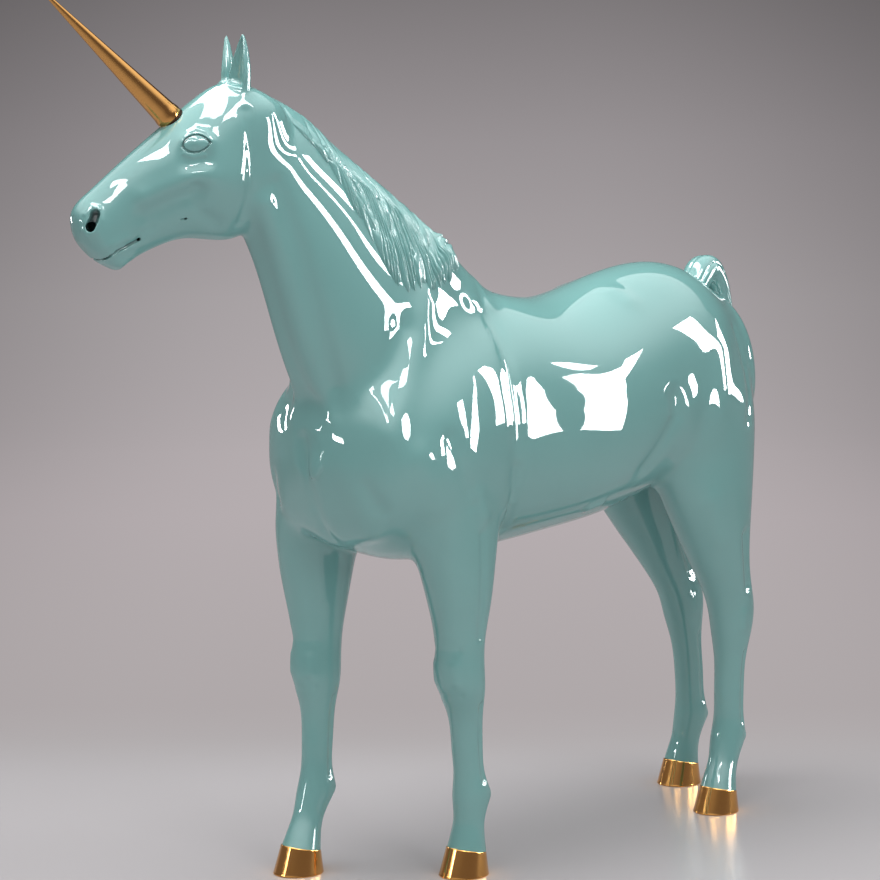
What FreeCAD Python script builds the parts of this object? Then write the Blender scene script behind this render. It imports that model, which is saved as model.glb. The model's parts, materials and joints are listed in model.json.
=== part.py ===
import FreeCAD, Part
import math
import os

V = FreeCAD.Vector

# Overall sizes of the animal, in millimetres.
WITHERS_HEIGHT = 1500.0
BODY_LENGTH = 1600.0
BODY_WIDTH = 560.0
NECK_REACH = 630.0
NECK_RISE = 690.0
NECK_DEPTH = 615.0
NECK_WIDTH = 354.0
HEAD_LENGTH = 588.0
HEAD_DEPTH = 330.0
HEAD_WIDTH = 210.0
FORELEG_DEPTH = 300.0
FORELEG_WIDTH = 180.0
HINDLEG_DEPTH = 420.0
HINDLEG_WIDTH = 270.0
TAIL_THICKNESS = 96.0
TAIL_WIDTH = 100.0

# The lacquered glass-fibre mouldings.
SKIN_WALL = 6.0
BOND_GAP = 0.3
MANE_THICKNESS = 13.0
EYE_RADIUS = 26.0
EYE_PROUD = 9.0
NOSTRIL_RADIUS = 15.0
NOSTRIL_DEPTH = 4.0

# Hooves.
HOOF_HEIGHT = 66.0
HOOF_LENGTH = 138.0
HOOF_WIDTH = 124.0
HOOF_TOE_REACH = 9.0

# Ears.
EAR_HEIGHT = 148.0
EAR_WIDTH = 62.0
EAR_DEPTH = 46.0
EAR_WALL = 5.0

# Horn, its steel spigot and the sleeve that takes it.
HORN_LENGTH = 430.0
HORN_BASE_RADIUS = 32.0
HORN_TIP_RADIUS = 3.0
HORN_SINK = 14.0
SPIGOT_RADIUS = 12.0
SPIGOT_BELOW = 58.0
SPIGOT_ABOVE = 70.0
SPIGOT_CLEARANCE = 0.05
SLEEVE_WALL = 4.0
SLEEVE_LENGTH = 72.0

# Welded steel frame, foot plates and floor anchors.
TUBE_RADIUS = 12.0
TUBE_WALL = 2.5
CROSS_RADIUS = 17.0
SPINE_RADIUS = 17.0
FRAME_WALL = 3.0
WELD_GAP = 0.3
PLATE_RADIUS = 36.0
PLATE_THICKNESS = 8.0
BOSS_HEIGHT = 34.0
ANCHOR_RADIUS = 4.0
ANCHOR_DEPTH = 28.0
CUT_OVERRUN = 5.0

# Attitude of head, ears and horn, in degrees.
HEAD_TURN = -18.0
HEAD_DIP = 38.5
HORN_LEAN = 8.5
CORONET_TILT = 11.0
EAR_SPLAY = 4.0
NECK_SPLIT_PITCH = 64.7
RING_POINTS = 16
LOFT_DEGREE = 3

# Ring stations. Lengths along the body are shares of BODY_LENGTH from the buttocks,
# heights are shares of WITHERS_HEIGHT and half widths are shares of BODY_WIDTH.
TORSO_WAIST_SHARE = 0.45
TORSO_STATION_SHARES = (
    # along, top, bottom, half width
    (-0.004, 0.850, 0.775, 0.060), (0.006, 0.900, 0.740, 0.165), (0.056, 0.985, 0.700, 0.321),
    (0.141, 1.028, 0.670, 0.415), (0.253, 1.038, 0.620, 0.471), (0.384, 1.005, 0.582, 0.498),
    (0.506, 0.985, 0.565, 0.493), (0.609, 0.995, 0.553, 0.469), (0.722, 0.985, 0.545, 0.469),
    (0.834, 0.955, 0.548, 0.490), (0.919, 0.910, 0.575, 0.440), (0.975, 0.850, 0.635, 0.300),
    (0.996, 0.790, 0.700, 0.110))

# Neck stations: forward share of NECK_REACH, sideways share of NECK_WIDTH, upward share of
# NECK_RISE, pitch in degrees, half depth share of NECK_DEPTH, half width share of NECK_WIDTH.
NECK_BASE_ALONG_SHARE = 0.722
NECK_BASE_HEIGHT_SHARE = 0.84
NECK_CREST_TAPER_SHARE = 0.30
NECK_STATION_SHARES = (
    (0.000, 0.000, 0.000, 14, 0.463, 0.440), (0.240, 0.000, 0.150, 30, 0.486, 0.500),
    (0.451, 0.000, 0.372, 42, 0.432, 0.400), (0.604, -0.017, 0.577, 50, 0.341, 0.315),
    (0.763, -0.059, 0.760, 52, 0.272, 0.268), (0.905, -0.102, 0.902, 50, 0.224, 0.240),
    (1.000, -0.136, 1.000, 48, 0.146, 0.180))

# Head stations from the poll: along share of HEAD_LENGTH, drop of the brow line and of the jaw
# line as shares of HEAD_DEPTH, half width share of HEAD_WIDTH.
POLL_FORWARD_SHARE = 0.988
POLL_SIDE_SHARE = -0.121
POLL_RISE_SHARE = 1.180
HEAD_JAW_TAPER_SHARE = -0.16
HEAD_STATION_SHARES = (
    (-0.025, 0.341, 0.568, 0.214), (0.037, 0.136, 0.750, 0.357), (0.123, 0.027, 0.886, 0.443),
    (0.246, 0.000, 0.964, 0.486), (0.393, 0.000, 1.000, 0.500), (0.492, 0.000, 0.955, 0.457),
    (0.627, 0.004, 0.748, 0.357), (0.738, 0.012, 0.655, 0.300), (0.836, 0.020, 0.612, 0.286),
    (0.910, 0.034, 0.596, 0.286), (0.962, 0.100, 0.535, 0.243), (0.994, 0.200, 0.410, 0.140))
EYE_SHARES = (0.380, 0.190, 0.420)
NOSTRIL_SHARES = (0.905, 0.130, 0.300)
EAR_ROOT_SHARES = (0.098, 0.170, 0.190)
HORN_ROOT_ALONG_SHARE = 0.370

# Leg rings: height share of WITHERS_HEIGHT, half length share of the leg's depth, half width
# share of the leg's width. The last ring is the coronet, at the height of the hoof.
FORELEG_FORM_SHARES = (
    (0.800, 0.300, 0.230), (0.700, 0.470, 0.440), (0.620, 0.460, 0.500), (0.550, 0.385, 0.470),
    (0.470, 0.290, 0.400), (0.400, 0.228, 0.335), (0.360, 0.225, 0.345), (0.325, 0.210, 0.330),
    (0.290, 0.170, 0.258), (0.220, 0.145, 0.208), (0.170, 0.150, 0.217), (0.135, 0.177, 0.250),
    (0.115, 0.160, 0.232), (0.095, 0.143, 0.220), (0.073, 0.148, 0.240), (None, 0.172, 0.285))
HINDLEG_FORM_SHARES = (
    (0.920, 0.330, 0.240), (0.800, 0.488, 0.480), (0.700, 0.458, 0.417), (0.620, 0.400, 0.367),
    (0.540, 0.314, 0.306), (0.470, 0.240, 0.250), (0.420, 0.204, 0.211), (0.385, 0.190, 0.200),
    (0.340, 0.159, 0.189), (0.290, 0.121, 0.156), (0.220, 0.111, 0.144), (0.170, 0.114, 0.150),
    (0.130, 0.129, 0.168), (0.112, 0.118, 0.160), (0.092, 0.108, 0.153), (0.072, 0.110, 0.163),
    (None, 0.123, 0.190))

# Leg lines: for each ring, the place along the body as a share of BODY_LENGTH and the place to
# the side as a share of BODY_WIDTH.
LEG_LINE_SHARES = {
    "foreleg_left": (
        (0.795, 0.180), (0.785, 0.262), (0.778, 0.292), (0.773, 0.300), (0.766, 0.300),
        (0.764, 0.295), (0.764, 0.295), (0.760, 0.295), (0.752, 0.292), (0.745, 0.289),
        (0.739, 0.287), (0.735, 0.287), (0.737, 0.287), (0.740, 0.287), (0.743, 0.287),
        (0.746, 0.287)),
    "foreleg_right": (
        (0.835, -0.180), (0.848, -0.290), (0.862, -0.336), (0.867, -0.350), (0.868, -0.350),
        (0.872, -0.340), (0.876, -0.335), (0.878, -0.327), (0.878, -0.321), (0.883, -0.308),
        (0.887, -0.300), (0.891, -0.295), (0.900, -0.291), (0.910, -0.286), (0.920, -0.280),
        (0.930, -0.273)),
    "hindleg_left": (
        (0.180, 0.165), (0.174, 0.225), (0.163, 0.262), (0.158, 0.285), (0.139, 0.289),
        (0.115, 0.284), (0.092, 0.276), (0.079, 0.268), (0.075, 0.263), (0.075, 0.257),
        (0.075, 0.252), (0.075, 0.252), (0.080, 0.257), (0.088, 0.264), (0.098, 0.273),
        (0.108, 0.281), (0.117, 0.289)),
    "hindleg_right": (
        (0.180, -0.165), (0.160, -0.228), (0.143, -0.268), (0.124, -0.289), (0.088, -0.289),
        (0.050, -0.281), (0.022, -0.268), (0.005, -0.257), (-0.003, -0.252), (-0.010, -0.249),
        (-0.018, -0.246), (-0.022, -0.246), (-0.023, -0.246), (-0.019, -0.250), (-0.014, -0.254),
        (-0.009, -0.258), (-0.005, -0.263))}
FORELEG_TUBE_RINGS = (10, 6, 3)
HINDLEG_TUBE_RINGS = (11, 8, 5, 4)

# Tail stations: along share of BODY_LENGTH, height share of WITHERS_HEIGHT, pitch in degrees of
# the hair's run, half thickness share of TAIL_THICKNESS, half width share of TAIL_WIDTH.
TAIL_STATION_SHARES = (
    (0.112, 0.965, 118, 0.300, 0.360), (0.074, 1.002, 128, 0.420, 0.460),
    (0.050, 1.023, 165, 0.470, 0.500), (0.026, 1.000, 230, 0.400, 0.440),
    (0.002, 0.945, 250, 0.320, 0.340), (-0.022, 0.860, 264, 0.290, 0.320),
    (-0.027, 0.740, 272, 0.300, 0.330), (-0.022, 0.620, 274, 0.270, 0.310),
    (-0.014, 0.500, 274, 0.180, 0.220), (-0.009, 0.425, 274, 0.040, 0.050))

# Mane locks from the poll to the withers: along share of BODY_LENGTH, drop below the crest as a
# share of NECK_DEPTH, thickness share of MANE_THICKNESS.
MANE_LOCK_SHARES = (
    (1.040, 0.03, 0.30), (1.020, 0.06, 0.80), (1.002, 0.12, 0.45), (0.984, 0.22, 1.00),
    (0.966, 0.27, 0.50), (0.948, 0.42, 1.00), (0.930, 0.50, 0.50), (0.912, 0.58, 1.00),
    (0.894, 0.53, 0.50), (0.876, 0.55, 1.00), (0.858, 0.48, 0.50), (0.840, 0.46, 1.00),
    (0.820, 0.37, 0.50), (0.800, 0.38, 1.00), (0.778, 0.28, 0.50), (0.754, 0.25, 0.90),
    (0.728, 0.17, 0.45), (0.700, 0.10, 0.40))
MANE_LEVEL_SHARES = (0.85, 0.60, 0.30, 0.0)
MANE_SINK_SHARE = 0.6
MANE_EDGE_SHARE = 0.35
MANE_CREST_SHARE = 0.35

# Ear stations: height share of EAR_HEIGHT, half width share of EAR_WIDTH, half depth share and
# lean back as shares of EAR_DEPTH. The hollow starts where the ear is thick enough for it.
EAR_STATION_SHARES = (
    (0.00, 0.40, 0.42, 0.00), (0.25, 0.50, 0.50, 0.00), (0.50, 0.44, 0.44, 0.02),
    (0.72, 0.30, 0.31, 0.05), (0.90, 0.14, 0.15, 0.06), (1.00, 0.03, 0.03, 0.05))
EAR_SCOOP_SHARE = 0.42
EAR_SCOOP_TOP_SHARE = 0.80

# Places where the mouldings are split and where the frame runs.
LEG_SPLIT_SHARE = 0.53
LEG_GROUP_ALONG_SHARE = 0.45
NECK_SPLIT_ALONG_SHARE = 0.640
NECK_SPLIT_HEIGHT_SHARE = 1.040
HEAD_SPLIT_FORWARD_SHARE = 0.898
HEAD_SPLIT_SIDE_SHARE = -0.085
SHOULDER_FRAME_SHARES = (0.825, 0.740)
HIP_FRAME_SHARES = (0.180, 0.760)
NECK_POST_RINGS = (2, 4)
NECK_POST_SETBACK_SHARE = 0.05
POST_LANDING_SHARE = 0.65


def along(share):
    return share * BODY_LENGTH


def height(share):
    return share * WITHERS_HEIGHT


def across(share):
    return share * BODY_WIDTH


def turned(pitch):
    """Unit vectors along and square to a line in the upright plane, at a pitch in degrees."""
    turn = math.radians(pitch)
    return V(math.cos(turn), 0, math.sin(turn)), V(-math.sin(turn), 0, math.cos(turn))


def ring(centre, side, up, half_width, rise, drop, taper=0.0):
    """A smooth closed curve round a centre, with its own rise and drop, narrowed by a taper."""
    points = []
    for index in range(RING_POINTS):
        angle = 2 * math.pi * index / RING_POINTS
        lift = math.sin(angle)
        width = half_width * math.cos(angle) * (1 - taper * lift)
        points.append(centre + side * width + up * (lift * (rise if lift > 0 else drop)))
    curve = Part.BSplineCurve()
    curve.interpolate(points, PeriodicFlag=True)
    return Part.Wire([curve.toShape()])


def loft(wires, ruled=False):
    """A solid through the rings, smooth along its length unless it is ruled."""
    return Part.makeLoft(wires, True, ruled, False, LOFT_DEGREE)


def closed_in(stations, inset):
    """Leave the end stations out of a hollow, so that a wall closes the ends."""
    return stations[1:-1] if inset > 0 else stations


def torso(inset=0.0):
    """The barrel, chest and croup as one loft, drawn in by an inset on every side."""
    wires = []
    for share, top, bottom, half in closed_in(TORSO_STATION_SHARES, inset):
        waist = bottom + TORSO_WAIST_SHARE * (top - bottom)
        wires.append(ring(V(along(share), 0, height(waist)), V(0, 1, 0), V(0, 0, 1), across(half) - inset,
                          height(top - waist) - inset, height(waist - bottom) - inset))
    return loft(wires)


def neck_point(forward, side, rise):
    return V(along(NECK_BASE_ALONG_SHARE) + forward * NECK_REACH, side * NECK_WIDTH,
             height(NECK_BASE_HEIGHT_SHARE) + rise * NECK_RISE)


def neck(inset=0.0):
    """The neck, from inside the shoulders to inside the head, narrow at the crest."""
    wires = []
    for forward, side, rise, pitch, deep, wide in NECK_STATION_SHARES:
        depth = deep * NECK_DEPTH - inset
        wires.append(ring(neck_point(forward, side, rise), V(0, 1, 0), turned(pitch)[1],
                          wide * NECK_WIDTH - inset, depth, depth, NECK_CREST_TAPER_SHARE))
    return loft(wires)


def head_axes():
    """Unit vectors along the face, to the animal's left and square to the brow."""
    turn, dip = math.radians(HEAD_TURN), math.radians(HEAD_DIP)
    face = V(math.cos(dip) * math.cos(turn), math.cos(dip) * math.sin(turn), -math.sin(dip))
    side = V(-math.sin(turn), math.cos(turn), 0)
    return face, side, face.cross(side)


def head_point(along_share, drop_share, side_share=0.0):
    face, side, brow = head_axes()
    poll = neck_point(POLL_FORWARD_SHARE, POLL_SIDE_SHARE, POLL_RISE_SHARE)
    return (poll + face * (along_share * HEAD_LENGTH) - brow * (drop_share * HEAD_DEPTH)
            + side * (side_share * HEAD_WIDTH))


def head(inset=0.0):
    """The skull and muzzle as one loft from the poll to the lips."""
    side, brow = head_axes()[1:]
    wires = []
    for share, top, bottom, half in closed_in(HEAD_STATION_SHARES, inset):
        deep = (bottom - top) * HEAD_DEPTH / 2 - inset
        centre = head_point(share, (top + bottom) / 2)
        wires.append(ring(centre, side, brow, half * HEAD_WIDTH - inset, deep, deep, HEAD_JAW_TAPER_SHARE))
    return loft(wires)


def leg_kind(name):
    if name.startswith("foreleg"):
        return FORELEG_FORM_SHARES, FORELEG_DEPTH, FORELEG_WIDTH
    return HINDLEG_FORM_SHARES, HINDLEG_DEPTH, HINDLEG_WIDTH


def leg_centre(name, index):
    share = leg_kind(name)[0][index][0]
    place = LEG_LINE_SHARES[name][index]
    return V(along(place[0]), across(place[1]), HOOF_HEIGHT if share is None else height(share))


def coronet(name, lower, inset=0.0):
    """The tilted ring where leg and hoof meet, lowered by a bond gap for the hoof."""
    form, depth, width = leg_kind(name)
    level, square = turned(CORONET_TILT)
    centre = leg_centre(name, -1) - square * lower
    half_length = form[-1][1] * depth - inset
    return ring(centre, V(0, 1, 0), level, form[-1][2] * width - inset, half_length, half_length)


def leg(name, inset=0.0):
    """One leg from inside the trunk down to the coronet."""
    form, depth, width = leg_kind(name)
    wires = []
    for index, (share, deep, wide) in enumerate(form[:-1]):
        half_length = deep * depth - inset
        wires.append(ring(leg_centre(name, index), V(0, 1, 0), V(1, 0, 0), wide * width - inset,
                          half_length, half_length))
    return loft(wires + [coronet(name, 0.0, inset)])


def fused(solids):
    body = solids[0]
    for other in solids[1:]:
        body = body.fuse(other)
    return body.removeSplitter()


def ball(centre, radius):
    return Part.makeSphere(radius, centre)


def half_space(point, direction, reach):
    """A block that starts at a plane through a point and runs along the plane's direction."""
    block = Part.makeBox(reach, reach, reach, V(-reach / 2, -reach / 2, 0))
    block.Placement = FreeCAD.Placement(point, FreeCAD.Rotation(V(0, 0, 1), direction))
    return block


def box_between(low, high):
    return Part.makeBox(high.x - low.x, high.y - low.y, high.z - low.z, low)


def largest_solid(shape):
    return max(shape.Solids, key=lambda solid: solid.Volume)


def tube_along(points, radius):
    """A round bar through a list of points, mitred where it bends."""
    path = Part.makePolygon(points)
    start = Part.Wire([Part.makeCircle(radius, points[0], points[1] - points[0])])
    return path.makePipeShell([start], True, False, 1)


def hollow_tube(points, radius, wall):
    return tube_along(points, radius).cut(tube_along(points, radius - wall))


def skins():
    """The whole skin with its hollow, before it is split into mouldings."""
    names = list(LEG_LINE_SHARES)
    outer = fused([torso(), neck(), head()] + [leg(name) for name in names] + [eye(1), eye(-1)])
    hollows = [torso(SKIN_WALL), neck(SKIN_WALL), head(SKIN_WALL)] + [leg(name, SKIN_WALL) for name in names]
    return outer.cut(hollows + [nostril(1), nostril(-1)])


def eye(side):
    """A lidded eye, a shallow swelling of the brow's side."""
    centre = head_point(EYE_SHARES[0], EYE_SHARES[1], side * EYE_SHARES[2])
    outward = head_axes()[1] * side
    return ball(centre - outward * (EYE_RADIUS - EYE_PROUD), EYE_RADIUS)


def nostril(side):
    """The round hollow of a nostril, shallower than the wall."""
    centre = head_point(NOSTRIL_SHARES[0], NOSTRIL_SHARES[1], side * NOSTRIL_SHARES[2])
    outward = head_axes()[1] * side
    return ball(centre + outward * (NOSTRIL_RADIUS - NOSTRIL_DEPTH), NOSTRIL_RADIUS)


def split_planes():
    """The point and direction of the planes that part neck from trunk and head from neck."""
    neck_foot = V(along(NECK_SPLIT_ALONG_SHARE), 0, height(NECK_SPLIT_HEIGHT_SHARE))
    neck_up = turned(NECK_SPLIT_PITCH)[0]
    head_back = neck_point(HEAD_SPLIT_FORWARD_SHARE, HEAD_SPLIT_SIDE_SHARE, 1)
    turn = math.radians(HEAD_TURN / 2)
    return (neck_foot, neck_up), (head_back, V(math.cos(turn), math.sin(turn), 0))


def mouldings(shell):
    """Split the skin into its mouldings, with a bond line between each pair."""
    reach = 2 * (BODY_LENGTH + NECK_REACH + HEAD_LENGTH)
    (foot, up), (back, ahead) = split_planes()
    split = height(LEG_SPLIT_SHARE)
    group = along(LEG_GROUP_ALONG_SHARE)
    parts = {}
    above_foot = half_space(foot + up * BOND_GAP, up, reach)
    past_head = half_space(back + ahead * BOND_GAP, ahead, reach)
    parts["head_shell"] = shell.common(past_head)
    parts["neck_shell"] = shell.common(above_foot).cut(half_space(back, ahead, reach))
    trunk = shell.cut(half_space(foot, up, reach))
    for name, low_y, high_y in (("left", BOND_GAP / 2, reach), ("right", -reach, -BOND_GAP / 2)):
        room = box_between(V(-reach, low_y, split), V(reach, high_y, reach))
        parts["torso_%s_shell" % name] = trunk.common(room)
        for leg_name, low_x, high_x in (("foreleg", group, reach), ("hindleg", -reach, group)):
            room = box_between(V(low_x, low_y, 0), V(high_x, high_y, split - BOND_GAP))
            parts["%s_%s_shell" % (leg_name, name)] = shell.common(room)
    return {name: largest_solid(solid) for name, solid in parts.items()}


def skin_side(solid, x, z):
    """How far the skin stands out to the left at a place in the upright plane."""
    probe = Part.makeLine(V(x, 0, z), V(x, BODY_WIDTH, z))
    return max(vertex.Point.y for vertex in solid.common(probe).Vertexes)


def skin_top(solid, x):
    probe = Part.makeLine(V(x, 0, height(NECK_BASE_HEIGHT_SHARE)), V(x, 0, 2 * WITHERS_HEIGHT))
    return max(vertex.Point.z for vertex in solid.common(probe).Vertexes)


def mane():
    """Overlapping locks that fall from the crest on the left side of the neck."""
    bare = neck().fuse(torso())
    wires = []
    for share, low, thick in MANE_LOCK_SHARES:
        x = along(share)
        crest = skin_top(bare, x)
        foot = crest - low * NECK_DEPTH
        skin = thick * MANE_THICKNESS
        outer = [V(x, -skin, crest), V(x, 0, crest + MANE_CREST_SHARE * skin)]
        for level in MANE_LEVEL_SHARES:
            z = foot + level * (crest - foot)
            swell = skin * (1 if level > 0 else MANE_EDGE_SHARE)
            outer.append(V(x, skin_side(bare, x, z) + swell, z))
        inside = V(x, MANE_SINK_SHARE * outer[-1].y, foot)
        curve = Part.BSplineCurve()
        curve.interpolate(outer)
        under = [Part.makeLine(outer[-1], inside), Part.makeLine(inside, outer[0])]
        wires.append(Part.Wire([curve.toShape()] + under))
    locks = loft(wires, True)
    return largest_solid(locks.cut(neck(-BOND_GAP)).cut(torso(-BOND_GAP)))


def tail():
    """The tail, lifted at the dock and falling behind the thighs."""
    wires = []
    for share, rise, pitch, thick, wide in TAIL_STATION_SHARES:
        half = thick * TAIL_THICKNESS
        wires.append(ring(V(along(share), 0, height(rise)), V(0, 1, 0), turned(pitch)[1],
                          wide * TAIL_WIDTH, half, half))
    return largest_solid(loft(wires).cut(torso(-BOND_GAP)))


def ear(side, skull):
    """A pointed ear, scooped out at its front like a leaf."""
    root = head_point(EAR_ROOT_SHARES[0], EAR_ROOT_SHARES[1], side * EAR_ROOT_SHARES[2])
    splay = math.radians(EAR_SPLAY) * side
    up = V(0, math.sin(splay), math.cos(splay))
    ahead = head_axes()[1].cross(up)
    ahead.normalize()
    across_ear = up.cross(ahead)
    full, scoop = [], []
    for rise, wide, deep, back in EAR_STATION_SHARES:
        width, depth = wide * EAR_WIDTH, deep * EAR_DEPTH
        centre = root + up * (rise * EAR_HEIGHT) - ahead * (back * EAR_DEPTH)
        full.append(ring(centre, across_ear, ahead, width, depth, depth))
        if rise < EAR_SCOOP_TOP_SHARE:
            centre = centre + ahead * (EAR_SCOOP_SHARE * EAR_DEPTH)
            scoop.append(ring(centre, across_ear, ahead, width - EAR_WALL, depth, depth - EAR_WALL))
    return largest_solid(loft(full).cut(loft(scoop)).cut(skull))


def horn_axis():
    face, _, brow = head_axes()
    lean = math.radians(HORN_LEAN)
    return brow * math.cos(lean) + face * math.sin(lean)


def rod(radius, start, end):
    """A round bar on the horn's axis, between two distances from the horn's root."""
    root = head_point(HORN_ROOT_ALONG_SHARE, 0)
    return Part.makeCylinder(radius, end - start, root + horn_axis() * start, horn_axis())


def horn_pieces(skull):
    """The gold horn, its spigot and the sleeve in the brow that the spigot slides into."""
    axis = horn_axis()
    root = head_point(HORN_ROOT_ALONG_SHARE, 0)
    bore = SPIGOT_RADIUS + SPIGOT_CLEARANCE
    sleeve = rod(bore + SLEEVE_WALL, -SLEEVE_LENGTH, CUT_OVERRUN).common(head(BOND_GAP))
    sleeve = sleeve.cut(rod(bore, -SLEEVE_LENGTH - CUT_OVERRUN, SLEEVE_LENGTH))
    length = HORN_LENGTH + HORN_SINK
    cone = Part.makeCone(HORN_BASE_RADIUS, HORN_TIP_RADIUS, length, root - axis * HORN_SINK, axis)
    cone = cone.fuse(ball(root + axis * HORN_LENGTH, HORN_TIP_RADIUS)).cut(skull)
    cone = cone.cut(rod(SPIGOT_RADIUS + BOND_GAP, -HORN_SINK, SPIGOT_ABOVE + BOND_GAP))
    spigot = rod(SPIGOT_RADIUS, -SPIGOT_BELOW, SPIGOT_ABOVE)
    return largest_solid(cone), spigot, largest_solid(sleeve)


def foot_centre(name):
    centre = leg_centre(name, -1)
    return V(centre.x, centre.y, 0)


def hoof(name):
    """A gold hoof with a bore for the leg tube and a pocket for the foot plate."""
    foot = foot_centre(name)
    toe = foot + V(HOOF_TOE_REACH, 0, 0)
    ground = ring(toe, V(0, 1, 0), V(1, 0, 0), HOOF_WIDTH / 2, HOOF_LENGTH / 2, HOOF_LENGTH / 2)
    body = loft([ground, coronet(name, BOND_GAP)])
    low = foot - V(0, 0, CUT_OVERRUN)
    pocket = Part.makeCylinder(PLATE_RADIUS + BOND_GAP, PLATE_THICKNESS + BOND_GAP + CUT_OVERRUN, low)
    bore = Part.makeCylinder(TUBE_RADIUS + BOND_GAP, 2 * HOOF_HEIGHT, foot)
    return body.cut(pocket).cut(bore)


def foot_plate(name):
    """The steel plate under a hoof, with a boss that is tapped from below for a floor anchor."""
    foot = foot_centre(name)
    plate = Part.makeCylinder(PLATE_RADIUS, PLATE_THICKNESS, foot)
    boss = Part.makeCylinder(TUBE_RADIUS - TUBE_WALL - WELD_GAP, BOSS_HEIGHT, foot)
    tapped = Part.makeCylinder(ANCHOR_RADIUS, ANCHOR_DEPTH + CUT_OVERRUN, foot - V(0, 0, CUT_OVERRUN))
    return plate.fuse(boss).removeSplitter().cut(tapped)


def frame_point(shares, side=0.0):
    return V(along(shares[0]), across(side), height(shares[1]))


def cross_tube(shares):
    """A tube from wall to wall of the trunk, which carries a pair of legs."""
    end = V(0, BODY_WIDTH, 0)
    centre = frame_point(shares)
    bar = hollow_tube([centre - end, centre + end], CROSS_RADIUS, FRAME_WALL)
    return largest_solid(bar.common(torso(SKIN_WALL + WELD_GAP)))


def clear_of(shares):
    """The room that a cross tube takes, with its weld gap."""
    end = V(0, BODY_WIDTH, 0)
    centre = frame_point(shares)
    return tube_along([centre - end, centre + end], CROSS_RADIUS + WELD_GAP)


def leg_tube(name):
    """The steel tube inside a leg, from the foot plate to its cross tube."""
    fore = name.startswith("foreleg")
    shares = SHOULDER_FRAME_SHARES if fore else HIP_FRAME_SHARES
    foot = foot_centre(name)
    points = [foot + V(0, 0, PLATE_THICKNESS + WELD_GAP), foot + V(0, 0, HOOF_HEIGHT)]
    points += [leg_centre(name, index) for index in (FORELEG_TUBE_RINGS if fore else HINDLEG_TUBE_RINGS)]
    points.append(frame_point(shares, LEG_LINE_SHARES[name][0][1]))
    return largest_solid(hollow_tube(points, TUBE_RADIUS, TUBE_WALL).cut(clear_of(shares)))


def spine_line():
    return [frame_point(HIP_FRAME_SHARES), frame_point(SHOULDER_FRAME_SHARES)]


def spine():
    bar = hollow_tube(spine_line(), SPINE_RADIUS, FRAME_WALL)
    return largest_solid(bar.cut(clear_of(HIP_FRAME_SHARES)).cut(clear_of(SHOULDER_FRAME_SHARES)))


def neck_post():
    """The bent tube that carries the neck and ends at the horn's sleeve."""
    start = frame_point(SHOULDER_FRAME_SHARES) - V(along(NECK_POST_SETBACK_SHARE), 0, 0)
    landing = head_point(HORN_ROOT_ALONG_SHARE, 0) - horn_axis() * (POST_LANDING_SHARE * SLEEVE_LENGTH)
    points = [start] + [neck_point(*NECK_STATION_SHARES[index][:3]) for index in NECK_POST_RINGS] + [landing]
    bar = hollow_tube(points, TUBE_RADIUS, TUBE_WALL)
    sleeve_room = rod(SPIGOT_RADIUS + SPIGOT_CLEARANCE + SLEEVE_WALL + WELD_GAP, -2 * SLEEVE_LENGTH, 0)
    return largest_solid(bar.cut(tube_along(spine_line(), SPINE_RADIUS + WELD_GAP)).cut(sleeve_room))


def assembly():
    """Every piece of the figure by name, in place over the floor."""
    skull = head(-BOND_GAP)
    pieces = mouldings(skins())
    hole = rod(SPIGOT_RADIUS + SPIGOT_CLEARANCE + SLEEVE_WALL + BOND_GAP, -SLEEVE_LENGTH, HORN_BASE_RADIUS)
    pieces["head_shell"] = pieces["head_shell"].cut(hole)
    pieces["horn"], pieces["horn_spigot"], pieces["horn_sleeve"] = horn_pieces(skull)
    pieces["ear_left"], pieces["ear_right"] = ear(1, skull), ear(-1, skull)
    pieces["mane"], pieces["tail"] = mane(), tail()
    for name in LEG_LINE_SHARES:
        place = name.replace("leg", "")
        pieces["hoof_" + place] = hoof(name)
        pieces["foot_plate_" + place] = foot_plate(name)
        pieces[name + "_tube"] = leg_tube(name)
    pieces["shoulder_tube"] = cross_tube(SHOULDER_FRAME_SHARES)
    pieces["hip_tube"] = cross_tube(HIP_FRAME_SHARES)
    pieces["spine_tube"], pieces["neck_post"] = spine(), neck_post()
    return pieces


def main():
    os.makedirs("parts", exist_ok=True)
    pieces = assembly()
    bounds = Part.makeCompound(list(pieces.values())).BoundBox
    shift = V(-bounds.Center.x, -bounds.Center.y, -bounds.ZMin)
    for name, shape in pieces.items():
        shape = shape.copy()
        shape.translate(shift)
        shape.exportStep("parts/%s.step" % name)
        print("%-22s solids %d volume %.0f" % (name, len(shape.Solids), shape.Volume), "valid", shape.isValid())
    print("size", bounds.XLength, bounds.YLength, bounds.ZLength)
    for name in LEG_LINE_SHARES:
        print("foot", name, foot_centre(name) + shift)
    print("horn axis", horn_axis(), "root", head_point(HORN_ROOT_ALONG_SHARE, 0) + shift, "shift", shift)


main()
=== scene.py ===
"""Unicorn figurine in teal lacquer with gold hooves and horn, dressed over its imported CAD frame."""

from __future__ import annotations

import json
import logging
import math
from dataclasses import dataclass
from enum import Enum
from typing import Any, Callable, Sequence

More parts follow.
